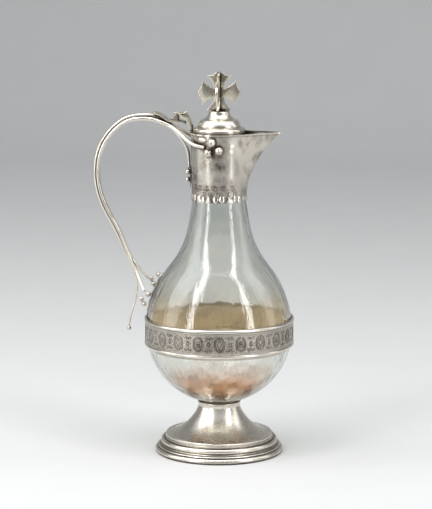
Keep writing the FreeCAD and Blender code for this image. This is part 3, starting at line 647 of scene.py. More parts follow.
def red_residue(name):
    # Wine dried to a crust at the bottom of the bottle: patchy orange brown.
    return dried_wine(name, bpy.context.scene.cruet_glass.residue, 0.92, 32.0, 52.0)


def tan_haze(name):
    # Haze that standing wine has left over the girdle: a thin tan veil with a ragged upper edge.
    settings = bpy.context.scene.cruet_glass
    return dried_wine(name, settings.haze, 0.6, 74.0, settings.haze_height / MM + 6)


def setting_plaster(name):
    # Plaster of Paris run between the glass and its mounts: matt, chalky and stained tan.
    material, tree, shader = start_material(name)
    place = add_node(tree, "TexCoord").outputs["Object"]
    stain = add_node(
        tree,
        "TexNoise",
        {"Vector": place, "Scale": per_mm(5.0), "Detail": 5.0, "Roughness": 0.6},
    )
    tone = add_node(
        tree,
        "Mix",
        {0: stain.outputs["Fac"], 6: opaque(linear("#DCC9AC")), 7: opaque(linear("#A07C56"))},
        data_type="RGBA",
    )
    tree.links.new(tone.outputs[2], shader.inputs["Base Color"])
    shader.inputs["Roughness"].default_value = 0.85
    return material


def paper_floor(name):
    # A sheet of matt background paper, faintly uneven.
    material, tree, shader = start_material(name)
    place = add_node(tree, "TexCoord").outputs["Object"]
    fibre = add_node(
        tree,
        "TexNoise",
        {"Vector": place, "Scale": per_mm(60.0), "Detail": 4.0, "Roughness": 0.6},
    )
    paper = bpy.context.scene.cruet_stage.floor
    tone = add_node(
        tree,
        "Mix",
        {0: fibre.outputs["Fac"], 6: opaque(paper), 7: opaque(shade(paper, 0.94))},
        data_type="RGBA",
    )
    tree.links.new(tone.outputs[2], shader.inputs["Base Color"])
    shader.inputs["Roughness"].default_value = 0.9
    return material


def give(obj, material):
    """Put one material on every slot of an object."""
    slots = obj.data.materials
    if len(slots) == 0:
        slots.append(material)
    for index in range(len(slots)):
        slots[index] = material


# Meshes


def add_piece(name, points, faces, materials, body, replaced=(), indices=None):
    """Make a smooth mesh piece in millimetres and hang it on its body.

    It stands in for the replaced CAD nodes; indices gives each face its material."""
    mesh = bpy.data.meshes.new(name)
    mesh.from_pydata([tuple(c * MM for c in point) for point in points], [], faces)
    for material in materials:
        mesh.materials.append(material)
    if indices is not None:
        mesh.polygons.foreach_set("material_index", indices)
    mesh.polygons.foreach_set("use_smooth", [True] * len(faces))
    mesh.validate()
    mesh.update()
    piece = bpy.data.objects.new(name, mesh)
    bpy.context.scene.collection.objects.link(piece)
    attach(piece, body)
    if replaced:
        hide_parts(*replaced)
    return piece


def apply_modifiers(piece):
    """Replace a piece's mesh with what its modifiers make of it."""
    graph = bpy.context.evaluated_depsgraph_get()
    made = bpy.data.meshes.new_from_object(piece.evaluated_get(graph))
    piece.modifiers.clear()
    piece.data = made


def grid_faces(rows, columns, closed=False):
    """Faces of a grid of points laid out row by row."""
    faces = []
    last = columns if closed else columns - 1
    for row in range(rows - 1):
        here = row * columns
        above = here + columns
        for column in range(last):
            after = (column + 1) % columns
            faces.append((here + column, here + after, above + after, above + column))
    return faces


def closed_sheet(front, back, rows, columns):
    """Points and faces of a thin closed body, from the grids of its front and its back."""
    count = len(front)
    faces = grid_faces(rows, columns)
    faces += [tuple(index + count for index in reversed(face)) for face in faces]
    edge = list(range(columns))
    edge += [row * columns + columns - 1 for row in range(1, rows)]
    edge += [(rows - 1) * columns + column for column in range(columns - 2, -1, -1)]
    edge += [row * columns for row in range(rows - 2, 0, -1)]
    for place, index in enumerate(edge):
        after = edge[(place + 1) % len(edge)]
        faces.append((index, index + count, after + count, after))
    return front + back, faces


def natural_curve(places, step):
    """Points about a step apart on a natural cubic spline through the places, with their spans.

    A span is the number of the place before the point and the share of the way to the next."""
    knots = np.array([tuple(place) for place in places])
    lengths = np.linalg.norm(np.diff(knots, axis=0), axis=1)
    marks = np.concatenate([[0.0], np.cumsum(lengths)])
    count = len(knots)
    matrix = np.zeros((count, count))
    right = np.zeros((count, 3))
    matrix[0, 0] = 1.0
    matrix[-1, -1] = 1.0
    for index in range(1, count - 1):
        before = lengths[index - 1]
        after = lengths[index]
        matrix[index, index - 1] = before
        matrix[index, index] = 2 * (before + after)
        matrix[index, index + 1] = after
        rise = (knots[index + 1] - knots[index]) / after
        right[index] = 6 * (rise - (knots[index] - knots[index - 1]) / before)
    bends = np.linalg.solve(matrix, right)
    points = []
    spans = []
    for mark in np.linspace(0.0, marks[-1], max(2, int(marks[-1] / step))):
        span = min(int(np.searchsorted(marks, mark, side="right")) - 1, count - 2)
        length = lengths[span]
        share = (mark - marks[span]) / length
        rest = 1.0 - share
        point = rest * knots[span] + share * knots[span + 1]
        bend = (rest**3 - rest) * bends[span] + (share**3 - share) * bends[span + 1]
        point += bend * length**2 / 6
        points.append(Vector(point))
        spans.append((span, share))
    return points, spans


def tube(points, radii, sides, shape=None):
    """Points and faces of a closed tube along a path; shape varies the radius round it."""
    verts = []
    faces = grid_faces(len(points), sides, closed=True)
    across = None
    for index, point in enumerate(points):
        ahead = points[min(index + 1, len(points) - 1)] - points[max(index - 1, 0)]
        ahead.normalize()
        if across is None:
            across = ahead.orthogonal().normalized()
        across = (across - ahead * across.dot(ahead)).normalized()
        other = ahead.cross(across)
        for side in range(sides):
            turn = 2 * math.pi * side / sides
            radius = radii[index] * (shape(index, turn) if shape else 1.0)
            verts.append(point + (across * math.cos(turn) + other * math.sin(turn)) * radius)
    verts.append(points[0])
    verts.append(points[-1])
    start = len(verts) - 2
    end = len(verts) - 1
    last = (len(points) - 1) * sides
    for side in range(sides):
        after = (side + 1) % sides
        faces.append((start, after, side))
        faces.append((end, last + side, last + after))
    return verts, faces


def join_parts(parts):
    """Join several lists of points and faces into one."""
    verts = []
    faces = []
    for part_verts, part_faces in parts:
        offset = len(verts)
        verts.extend(part_verts)
        faces.extend(tuple(index + offset for index in face) for face in part_faces)
    return verts, faces


def softened_copy(node, name, material, body, width):
    """A copy of a CAD node with its sharp edges filed round, standing in for the node."""
    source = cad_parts[node]
    work = bmesh.new()
    work.from_mesh(source.data)
    bmesh.ops.remove_doubles(work, verts=work.verts, dist=1e-6)
    flat = math.radians(2.0)
    bmesh.ops.dissolve_limit(work, angle_limit=flat, verts=work.verts, edges=work.edges)
    mesh = bpy.data.meshes.new(name)
    work.to_mesh(mesh)
    work.free()
    mesh.materials.clear()
    mesh.materials.append(material)
    piece = bpy.data.objects.new(name, mesh)
    bpy.context.scene.collection.objects.link(piece)
    bevel = piece.modifiers.new("filed edges", "BEVEL")
    bevel.width = width * MM
    bevel.segments = 3
    bevel.limit_method = "ANGLE"
    bevel.angle_limit = math.radians(32.0)
    apply_modifiers(piece)
    piece.data.polygons.foreach_set("use_smooth", [True] * len(piece.data.polygons))
    piece.data.set_sharp_from_angle(angle=math.radians(50.0))
    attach(piece, body)
    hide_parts(node)


# Sizes of the solids that pieces are fitted to, in millimetres

BODY_RADIUS = 43.3
BODY_HEIGHT = 72.7
SHOULDER_RADIUS = 62.5
GLASS_WALL = 2.4
GIRDLE_HEIGHT = 73.0
BAND_RADIUS = 43.95
RIM_HEIGHT = 190.24
COLLAR_BOTTOM = 152.94
COLLAR_HEIGHT = 39.0
COLLAR_RADIUS = 15.95
COLLAR_FLARE = 0.95
TAB_HEIGHT = 1.8
TAB_COUNT = 26
TAB_RING_RADIUS = 16.0
TAB_RING_FLARE = 0.42
HINGE_DISTANCE = 25.7
HINGE_HEIGHT = 199.54
HANDLE_REACH = 73.2
HANDLE_CROWN = 199.44
BACK_LEAF_LIFT = 0.6
TENDRIL_THICKNESS = 1.1

# Sizes of fine work, in millimetres

LARGE_BERRY = 2.0
COLLAR_MOTIFS = 15
COLLAR_LINE_WIDTH = 0.4
PETAL_HALF_WIDTH = 1.62
HAIR_GAP = 0.02
FILM_GAP = 0.06


def collar_wall(height):
    return COLLAR_RADIUS + COLLAR_FLARE * (height - COLLAR_BOTTOM) / COLLAR_HEIGHT


def around(radius, bearing, height):
    """A place given by its distance from the axis, its bearing in degrees and its height."""
    turn = math.radians(bearing)
    return Vector((radius * math.cos(turn), radius * math.sin(turn), height))


def glass_outside(height, lift=0.0):
    """Radius of the bottle's outside, or of a surface that lies a lift off it."""
    if height < BODY_HEIGHT:
        return math.sqrt(max((BODY_RADIUS + lift) ** 2 - (BODY_HEIGHT - height) ** 2, 0.0))
    arc = math.sqrt((SHOULDER_RADIUS + lift) ** 2 - (height - BODY_HEIGHT) ** 2)
    return BODY_RADIUS - SHOULDER_RADIUS + arc


# Handle


def stem_paths(thick):
    """Places and radii of the three stems, by name; thick is their radius at the top."""
    thin = thick - 0.25
    hinge = HINGE_DISTANCE
    crown = HANDLE_CROWN
    bell = BODY_HEIGHT
    flank = BODY_RADIUS
    span = HANDLE_REACH - hinge
    out = HANDLE_REACH - flank
    drop = crown - bell
    # Where the three lie together: x and z of the bundle's middle, and the bearing on which the
    # middle stem lies against the other two.
    bundle = [
        (-hinge - 0.423 * span, crown, 80.0),
        (-hinge - 0.588 * span, crown - 0.0095 * drop, 112.0),
        (-hinge - 0.792 * span, crown - 0.0616 * drop, 138.0),
        (-hinge - 0.945 * span, crown - 0.147 * drop, 161.0),
        (-HANDLE_REACH, crown - 0.249 * drop, 180.0),
        (-flank - 0.962 * out, crown - 0.343 * drop, 192.0),
        (-flank - 0.813 * out, crown - 0.439 * drop, 204.0),
        (-flank - 0.595 * out, crown - 0.5335 * drop, 208.5),
    ]
    outer_row = []
    pair_row = []
    radii = []
    for index, (x, z, bearing) in enumerate(bundle):
        radius = thick + (thin - thick) * index / (len(bundle) - 1)
        away = around(1.0, bearing, 0.0).xzy
        shift = (radius + HAIR_GAP) * math.sqrt(3) / 2
        outer_row.append(Vector((x, 0, z)) + away * shift)
        pair_row.append((Vector((x, 0, z)) - away * shift, radius + HAIR_GAP))
        radii.append(radius)
    paths = {}
    stand = collar_wall(RIM_HEIGHT - 5) + thick - 0.1
    # Distance out from the glass, distance from the middle plane, and rise over the belly
    lower_ends = {
        "near_stem": [(10.2, 1.4, 43.0), (5.5, 2.8, 33.4), (0.5, 6.9, 23.8)],
        "far_stem": [(9.9, 1.4, 43.0), (5.0, 2.8, 35.4), (0.5, 4.6, 30.0)],
    }
    for name, side in (("near_stem", -1), ("far_stem", 1)):
        upper = [
            around(stand, side * 111, RIM_HEIGHT - 6.3),
            around(stand + 0.3, side * 127, RIM_HEIGHT - 5.7),
            around(stand + 1.1, side * 142, RIM_HEIGHT - 4.6),
            Vector((-hinge + 3.6, side * 6.6, crown - 9.2)),
            Vector((-hinge - 3.3, side * 3.1, crown - 4.8)),
            Vector((-hinge - 7.0, side * 2.5, crown - 3.3)),
            Vector((-hinge - 12.9, side * 1.55, crown - 1.5)),
        ]
        middle = [Vector((place.x, side * half, place.z)) for place, half in pair_row]
        lower = []
        for far, apart, rise in lower_ends[name]:
            lower.append(Vector((-flank - far, side * apart, bell + rise)))
        ends = [thick * 0.85, thick * 0.9, thick * 0.95, thick, thick, thick, thick]
        paths[name] = (upper + middle + lower, ends + radii + [thin, thin * 0.97, thin * 0.9])
    # The middle stem starts on the leaf at the back of the collar.
    cover = BACK_LEAF_LIFT + thick * 0.84
    upper = []
    for low in (20.5, 15.3):
        upper.append(Vector((-collar_wall(RIM_HEIGHT - low) - cover, 0, RIM_HEIGHT - low)))
    upper += [
        Vector((-hinge + 6.9, 0, crown - 19.0)),
        Vector((-hinge + 5.4, 0, crown - 15.5)),
        Vector((-hinge + 1.1, 0, crown - 9.7)),
        Vector((-hinge - 3.3, 0, crown - 5.3)),
        Vector((-hinge - 6.9, 0, crown - 2.4)),
        Vector((-hinge - 12.9, 0, crown + 0.6)),
    ]
    tendril = [(11.5, 43.3), (7.2, 33.2), (6.2, 24.2), (7.5, 15.8), (9.8, 8.2), (11.0, 1.6)]
    lower = [Vector((-flank - far, 0, bell + rise)) for far, rise in tendril]
    slim = TENDRIL_THICKNESS / 2
    slender = [thick * 0.8, thick * 0.85, thick * 0.9, thick * 0.95] + [thick] * 4
    slender += radii + [thin * 0.85, thin * 0.75, slim * 1.1, slim, slim, slim * 0.9]
    paths["middle_stem"] = (upper + outer_row + lower, slender)
    return paths


def make_handle():
    settings = bpy.context.scene.cruet_handle
    metal = material_named("drawn silver wire", drawn_silver)
    spacing = settings.knot_spacing / MM
    first_knots = {"near_stem": 0.0, "far_stem": 0.35, "middle_stem": 0.7}
    knot_length = 1.1
    for name, (places, radii) in stem_paths(settings.stem_thickness / MM / 2).items():
        points, spans = natural_curve(places, 0.8)
        widths = [radii[span] + (radii[span + 1] - radii[span]) * share for span, share in spans]
        walk = 0.0
        swollen = []
        shift = first_knots[name] * spacing
        for index, point in enumerate(points):
            if index:
                walk += (point - points[index - 1]).length
            away = abs((walk + shift) % spacing - spacing / 2)
            knot = math.exp(-((away / knot_length) ** 2))
            swollen.append(widths[index] * (0.985 + 0.05 * knot))

        def bark(index, turn):
            ridges = 0.018 * math.cos(5 * turn + index * 0.05)
            return 1.0 + ridges + 0.008 * math.cos(11 * turn - index * 0.03)

        verts, faces = tube(points, swollen, 28, bark)
        add_piece(name.replace("stem", "vine_stem"), verts, faces, [metal], "cruet", (name,))


def lobed_ball(centre, radius, grains, relief, twist):
    """A berry of small round grains; relief is their share of the radius, twist turns them."""
    work = bmesh.new()
    bmesh.ops.create_icosphere(work, subdivisions=4, radius=1.0)
    golden = math.pi * (3 - math.sqrt(5))
    seats = []
    for index in range(grains):
        z = 1 - 2 * (index + 0.5) / grains
        turn = golden * index + twist
        ring = math.sqrt(1 - z * z)
        seats.append(Vector((ring * math.cos(turn), ring * math.sin(turn), z)))
    spread = 2.1 / math.sqrt(grains)
    verts = []
    for vert in work.verts:
        way = vert.co.normalized()
        near = min((way - seat).length for seat in seats)
        bump = math.sqrt(max(0.0, 1 - (near / spread) ** 2))
        verts.append(centre + way * radius * (0.998 - relief + relief * bump))
    faces = [tuple(vert.index for vert in face.verts) for face in work.faces]
    work.free()
    return verts, faces


def make_berries():
    settings = bpy.context.scene.cruet_handle
    metal = material_named("chased silver", chased_silver)
    for node in sorted(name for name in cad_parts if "berry" in name):
        low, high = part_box(node)
        centre = (low + high) / 2 / MM
        radius = (high - low).x / 2 / MM
        if radius > LARGE_BERRY:
            grains, relief = settings.drupelets, 0.2
        else:
            grains, relief = max(8, settings.drupelets // 2), 0.07
        verts, faces = lobed_ball(centre, radius, grains, relief, len(node) + centre.z)
        add_piece(node + "_fruit", verts, faces, [metal], "cruet", (node,))
    low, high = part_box("tendril_bud")
    centre = (low + high) / 2 / MM
    verts, faces = lobed_ball(centre, (high - low).x / 2 / MM, 9, 0.08, 2.0)
    add_piece("tendril_bud_cast", verts, faces, [metal], "cruet", ("tendril_bud",))


def leaf_blade(root, tip, width, lobes, place, relief, thickness, rows=41, columns=25):
    """A lobed leaf with a midrib and side veins, laid on a surface by the place function.

    Root and tip are flat places (x, z). The leaf thins towards its edges."""
    length = math.hypot(tip[0] - root[0], tip[1] - root[1])
    side_x = -(tip[1] - root[1]) / length
    side_z = (tip[0] - root[0]) / length
    front = []
    back = []
    for row in range(rows):
        along = row / (rows - 1)
        swell = math.sin(math.pi * min(1.0, along * 0.96 + 0.04)) ** 0.75
        notch = 1.0 - 0.24 * abs(math.sin(math.pi * lobes * along)) ** 3
        half = width * swell * notch
        x = root[0] + (tip[0] - root[0]) * along
        z = root[1] + (tip[1] - root[1]) * along
        for column in range(columns):
            across = 2 * column / (columns - 1) - 1
            crown = 0.55 * (1 - across**2)
            rib = 0.3 * math.exp(-((across / 0.13) ** 2)) * swell
            veins = math.cos(2 * math.pi * lobes * (along - 0.22 * abs(across)))
            lift = relief * (crown + rib + 0.16 * veins * (1 - abs(across)))
            point = place(x + side_x * half * across, z + side_z * half * across, lift)
            inward = -Vector((point.x, point.y, 0)).normalized()
            front.append(point)
            back.append(point + inward * thickness * (0.35 + 0.65 * (1 - across**2)))
    return closed_sheet(front, back, rows, columns)


def make_leaves():
    metal = material_named("chased silver", chased_silver)
    wall = collar_wall(RIM_HEIGHT) + 0.1
    for node, side in (("upper_near_leaf", -1), ("upper_far_leaf", 1)):

        def on_collar(x, z, lift, side=side):
            radius = wall + 0.12 + lift
            return Vector((x, side * math.sqrt(radius**2 - x**2), z))

        root = (-5.7, RIM_HEIGHT - 2.5)
        tip = (-11.6, RIM_HEIGHT - 2.1)
        verts, faces = leaf_blade(root, tip, 1.85, 3.0, on_collar, 0.75, 0.3)
        add_piece(node + "_blade", verts, faces, [metal], "cruet", (node,))

    def on_back(y, z, lift):
        radius = wall + 0.05 + lift
        return Vector((-math.sqrt(radius**2 - y**2), y, z))

    root = (0.0, RIM_HEIGHT - 18.8)
    tip = (0.0, RIM_HEIGHT - 32.2)
    verts, faces = leaf_blade(root, tip, 2.5, 4.0, on_back, 0.5, 0.35, 61, 31)
    add_piece("back_leaf_blade", verts, faces, [metal], "cruet", ("back_leaf",))


# Half widths of the bracket at shares of its height, from the girdle up
BRACKET_OUTLINE = (
    (0.0, 9.4),
    (0.12, 7.4),
    (0.32, 5.6),
    (0.5, 6.6),
    (0.68, 8.6),
    (0.78, 7.2),
    (0.865, 3.9),
    (1.0, 0.25),
)


def bracket_half_width(share):
    for (start, first), (end, last) in zip(BRACKET_OUTLINE, BRACKET_OUTLINE[1:]):
        if share <= end:
            ease = (share - start) / (end - start)
            ease = ease * ease * (3 - 2 * ease)
            return first + (last - first) * ease
    return BRACKET_OUTLINE[-1][1]


def make_bracket():
    metal = material_named("chased silver", chased_silver)
    low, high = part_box("handle_bracket")
    bottom = low.z / MM
    top = high.z / MM
    rows = 71
    columns = 61
    front = []
    back = []
    for row in range(rows):
        share = row / (rows - 1)
        z = bottom + (top - bottom) * share
        half = bracket_half_width(share) * (1 - 0.05 * abs(math.sin(9 * math.pi * share)))
        back_radius = glass_outside(z, 0.11)
        for column in range(columns):
            across = 2 * column / (columns - 1) - 1
            y = half * across
            rib = math.exp(-((across * half / 0.55) ** 2))
            veins = abs(math.sin(math.pi * (5.0 * share - 1.6 * abs(across))))
            hollow = 0.45 * (1 - abs(across)) ** 0.5 * veins
            radius = glass_outside(z, 0.25 + 0.55 * rib + hollow)
            front.append(Vector((-math.sqrt(radius**2 - y**2), y, z)))
            back.append(Vector((-math.sqrt(back_radius**2 - y**2), y, z)))
    verts, faces = closed_sheet(front, back, rows, columns)
    faces = [tuple(reversed(face)) for face in faces]
    add_piece("bracket_leaf", verts, faces, [metal], "cruet", ("handle_bracket",))


# Lid


def make_lid():
    cast = material_named("cast silver", cast_silver)
    spun = material_named("spun silver", spun_silver)
    softened_copy("finial_long_plate", "finial_long_cross", cast, "lid", 0.28)
    softened_copy("finial_cross_plate", "finial_short_cross", cast, "lid", 0.28)
    softened_copy("lid_arm", "lid_arm_casting", cast, "lid", 0.3)
    for node in ("lid_cover", "lid_bezel", "finial_stud", "finial_nut"):
        give(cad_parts[node], spun)
    make_arm_foliage(cast)


def arm_leaf(root, tip, width, side):
    """A small cast leaf on the lid's arm; root and tip are x and z from the hinge's pin."""
    rows = 25
    columns = 17
    pin = Vector((-HINGE_DISTANCE, 0, HINGE_HEIGHT))
    start = Vector((root[0], side * 0.4, root[1]))
    end = Vector((tip[0], side * 1.4, tip[1]))
    over = Vector((0, 1, 0)).cross((end - start).normalized())
    if over.z < 0:
        over = -over
    front = []
    for row in range(rows):
        share = row / (rows - 1)
        half = width * math.sin(math.pi * min(1.0, 0.08 + 0.92 * share)) ** 0.7
        half *= 1.0 - 0.2 * abs(math.sin(2.5 * math.pi * share)) ** 2
        for column in range(columns):
            across = 2 * column / (columns - 1) - 1
            lift = 0.28 * (1 - across**2) + 0.2 * math.exp(-((across / 0.16) ** 2))
            spread = Vector((0, half * across, 0))
            front.append(pin + (start + (end - start) * share + spread + over * lift))
    back = [vert - over * 0.45 for vert in front]
    return closed_sheet(front, back, rows, columns)


def make_arm_foliage(metal):
    """Five leaves over the hinge and down the arm; the first one clears the strap when open."""
    blades = [
        arm_leaf((1.8, 2.6), (-1.1, 2.25), 0.9, 0.0),
        arm_leaf((1.4, 2.3), (6.2, 2.9), 1.5, -1.0),
        arm_leaf((1.4, 2.3), (6.2, 2.9), 1.5, 1.0),
        arm_leaf((3.6, 3.0), (8.6, 0.4), 1.5, 0.0),
        arm_leaf((7.4, 0.9), (10.3, -5.2), 1.5, 0.0),
    ]
    verts, faces = join_parts(blades)
    piece = add_piece("lid_arm_foliage", verts, faces, [metal], "lid")
    work = bmesh.new()
    work.from_mesh(piece.data)
    bmesh.ops.recalc_face_normals(work, faces=work.faces)
    work.to_mesh(piece.data)
    work.free()


# Ornament cut or punched into the metal


def cast_onto(tree, points):
    """Drop points level onto a surface towards the cruet's axis; keep the outward normals."""
    landed = []
    for point in points:
        out = Vector((point.x, point.y, 0)).normalized()
        start = Vector((out.x * 80, out.y * 80, point.z)) * MM
        place, normal, _, _ = tree.ray_cast(start, -out)
        if place is None:
            raise RuntimeError(f"no surface under the ornament at height {point.z:.1f}")
        if normal.dot(out) < 0:
            normal = -normal
        landed.append((place / MM, normal))
    return landed


def graver_line(landed, width, closed):
    """A cut line with a fine burr along both its lips: points, faces and the faces' materials."""
    lip = 0.075
    floor = 0.012
    profile = ((-0.5, 0.0), (-0.32, lip), (-0.16, floor), (0.16, floor), (0.32, lip), (0.5, 0.0))
    verts = []
    count = len(landed)
    for index, (place, normal) in enumerate(landed):
        before = landed[index - 1][0] if index or closed else place
        after = landed[(index + 1) % count][0] if index < count - 1 or closed else place
        side = normal.cross((after - before).normalized()).normalized()
        for across, lift in profile:
            verts.append(place + side * (across * width) + normal * lift)
    faces = []
    kinds = []
    columns = len(profile)
    last = count if closed else count - 1
    for index in range(last):
        start = index * columns
        following = ((index + 1) % count) * columns
        for column in range(columns - 1):
            here = start + column
            there = following + column
            faces.append((here, here + 1, there + 1, there))
            kinds.append(1 if column in (1, 2, 3) else 0)
    return verts, faces, kinds


def ellipse(centre, across, high, turns=36):
    step = 2 * math.pi / turns
    x, y = centre
    return [(x + across * math.cos(k * step), y + high * math.sin(k * step)) for k in range(turns)]


def scroll(centre, size, side, rise):
    """A small spiral of leaf scroll; side and rise are 1 or -1 and turn it over."""
    last = 21
    points = []
    for index in range(last + 1):
        turn = index / last * 1.6 * math.pi
        reach = size * (1 - 0.72 * index / last)
        across = side * reach * math.cos(turn)
        points.append((centre[0] + across, centre[1] + rise * reach * math.sin(turn)))
    return points


def lozenge(middle, across, high):
    return [(middle, high), (middle + across, 0), (middle, -high), (middle - across, 0)]


def girdle_motifs(count):
    """Engraved lines of the girdle as (points, closed), in millimetres along its middle and up."""
    pitch = 2 * math.pi * BAND_RADIUS / count
    lines = []
    for number in range(count):
        middle = number * pitch
        lines.append((ellipse((middle, 0), 3.0, 4.25), True))
        lines.append((ellipse((middle, 0), 2.2, 3.35), True))
        if number % 2:
            lines.append((lozenge(middle, 1.3, 2.6), True))
        else:
            for turn in range(4):
                angle = math.radians(45 + 90 * turn)
                petal = (middle + 0.85 * math.cos(angle), 1.2 * math.sin(angle))
                lines.append((ellipse(petal, 0.6, 0.85, 14), True))
        between = middle + pitch / 2
        lines.append((lozenge(between, 0.8, 1.7), True))
        for rise in (-1, 1):
            lines.append((scroll((between - 1.0, rise * 3.1), 1.15, -1, rise), False))
            lines.append((scroll((between + 1.0, rise * 3.1), 1.15, 1, rise), False))
    return lines


def subdivide_line(points, closed, step=0.35):
    """More points on straight runs, so that a line follows the curve under it."""
    finer = []
    count = len(points)
    last = count if closed else count - 1
    for index in range(last):
        start = Vector(points[index])
        end = Vector(points[(index + 1) % count])
        parts = max(1, int((end - start).length / step))
        finer += [start.lerp(end, part / parts) for part in range(parts)]
    if not closed:
        finer.append(Vector(points[-1]))
    return finer


def engrave(name, node, lines, radius, middle, width):
    """Lay a set of graver lines onto a CAD node."""
    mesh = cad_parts[node].data
    corners = [vert.co for vert in mesh.vertices]
    tree = BVHTree.FromPolygons(corners, [tuple(face.vertices) for face in mesh.polygons])
    verts = []
    faces = []
    kinds = []
    for points, closed in lines:
        flat = subdivide_line(points, closed)
        places = [around(radius, math.degrees(u / radius), middle + v) for u, v in flat]
        line_verts, line_faces, line_kinds = graver_line(cast_onto(tree, places), width, closed)
        offset = len(verts)
        verts += line_verts
        faces += [tuple(index + offset for index in face) for face in line_faces]
        kinds += line_kinds
    lips = material_named("raised silver", raised_silver)
    # The cut's dark floor is dried tarnish with the shade of the groove painted in.
    cut = material_named("graver cut tarnish and shade", graver_cut_tarnish_and_shade)
    add_piece(name, verts, faces, [lips, cut], "cruet", indices=kinds)


def make_girdle():
    settings = bpy.context.scene.cruet_ornament
    give(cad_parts["girdle_band"], material_named("matted silver", matted_silver))
    for node in ("girdle_upper_wire", "girdle_lower_wire"):
        give(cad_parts[node], material_named("drawn silver wire", drawn_silver))
    width = settings.line_width / MM
    lines = girdle_motifs(settings.roundels)
    engrave("girdle_engraving", "girdle_band", lines, BAND_RADIUS, GIRDLE_HEIGHT, width)


def collar_motifs(count):
    """Engraved lines of the border over the collar's petals, from one side of the spout round."""
    first_bearing = 54
    bearing_step = 18
    lines = []
    for number in range(count):
        middle = COLLAR_RADIUS * math.radians(first_bearing + bearing_step * number)
        for side in (-1, 1):
            lines.append((scroll((middle + side * 1.35, 0.5), 1.3, side, 1), False))
            lines.append((scroll((middle + side * 1.0, 3.3), 0.85, side, -1), False))
            stalk = []
            for share in (0, 0.2, 0.4, 0.6, 0.8, 1.0):
                stalk.append((middle + side * 2.5 * share, -2.2 + 2.6 * share * share))
            lines.append((stalk, False))
            vein = []
            for share in (0, 0.33, 0.67, 1.0):
                across = side * (0.5 + 0.9 * share)
                vein.append((middle + across, 4.6 + 1.6 * share - 1.3 * share * share))
            lines.append((vein, False))
        right = [(middle + 0.7, 3.6), (middle + 0.2, 1.9)]
        left = [(middle - 0.2, 1.9), (middle - 0.7, 3.6)]
        lines.append(([(middle, 5.6), *right, *left], True))
    return lines


def make_collar():
    settings = bpy.context.scene.cruet_ornament
    raised = material_named("raised silver", raised_silver)
    for node in ("neck_collar", "neck_tab_ring", "lid_seat_ledge"):
        give(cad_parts[node], raised)
    give(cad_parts["collar_rim_wire"], material_named("drawn silver wire", drawn_silver))
    lines = collar_motifs(COLLAR_MOTIFS)
    width = COLLAR_LINE_WIDTH
    engrave("collar_engraving", "neck_collar", lines, COLLAR_RADIUS, COLLAR_BOTTOM + 3.0, width)
    make_petals(settings.petal_bulge / MM)


def make_petals(bulge):
    """Bright petals round the lower edge of the collar, one between each pair of notches."""
    metal = material_named("drawn silver wire", drawn_silver)
    rows = 13
    columns = 13
    bottom = COLLAR_BOTTOM - TAB_HEIGHT
    parts = []
    for number in range(TAB_COUNT):
        bearing = 360 / TAB_COUNT * (number + 0.5)
        # Under the spout the collar leans out, so the petals stay short there.
        if math.cos(math.radians(bearing)) > 0.93:
            tall = 3.4
        else:
            tall = 3.7 + 0.9 * noise.noise(Vector((number * 1.7, 0.3, 0.9)))
        verts = []
        for row in range(rows):
            share = row / (rows - 1)
            z = max(bottom + tall * (1 - share), bottom + HAIR_GAP)
            rounded = math.sqrt(max(0.0, 1 - max(0.0, share * 1.55 - 0.55) ** 2))
            half = PETAL_HALF_WIDTH * rounded * (0.55 + 0.45 * min(1, share * 2.4))
            flare = TAB_RING_FLARE * max(0.0, (COLLAR_BOTTOM - z) / TAB_HEIGHT)
            swell = bulge * math.sin(math.pi * min(1.0, 0.15 + share * 0.85))
            clear = 2 * HAIR_GAP if z < COLLAR_BOTTOM else HAIR_GAP
            for column in range(columns):
                across = 2 * column / (columns - 1) - 1
                radius = TAB_RING_RADIUS + flare + swell * (1 - across**2) + clear
                turn = bearing + math.degrees(half * across / radius)
                verts.append(around(radius, turn, z))
        parts.append((verts, grid_faces(rows, columns)))
    verts, faces = join_parts(parts)
    add_piece("collar_petals", verts, faces, [metal], "cruet")


# Foot, bottle and fillings


def make_foot():
    spun = material_named("spun silver", spun_silver)
    for node in ("foot_shell", "foot_lip_ring"):
        give(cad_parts[node], spun)


def inner_film(name, low, high, material):
    """A film between two heights, just off the inner face of the glass."""
    rows = 40
    columns = 128
    verts = []
    for row in range(rows):
        z = low + (high - low) * row / (rows - 1)
        radius = glass_outside(z, -GLASS_WALL - FILM_GAP)
        for column in range(columns):
            verts.append(around(radius, 360 * column / columns, z))
    faces = grid_faces(rows, columns, closed=True)
    add_piece(name, verts, faces, [material], "cruet")


def make_bottle():
    give(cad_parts["glass_bottle"], material_named("blown glass", blown_glass))
    for node in ("girdle_cement", "neck_plaster", "foot_plaster"):
        give(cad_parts[node], material_named("setting plaster", setting_plaster))
    inner_film("wine_residue", 32.0, 62.0, material_named("dried red wine", red_residue))
    inner_film("wine_haze", 63.0, 104.0, material_named("dried tan haze", tan_haze))


def make_hinge():
    cast = material_named("cast silver", cast_silver)
    softened_copy("hinge_strap", "hinge_strap_filed", cast, "cruet", 0.25)
    softened_copy("strap_rivet", "strap_rivet_filed", cast, "cruet", 0.05)
    give(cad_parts["hinge_pin"], material_named("drawn silver wire", drawn_silver))


# Stage

LAMP_AIM_HEIGHT = 0.12


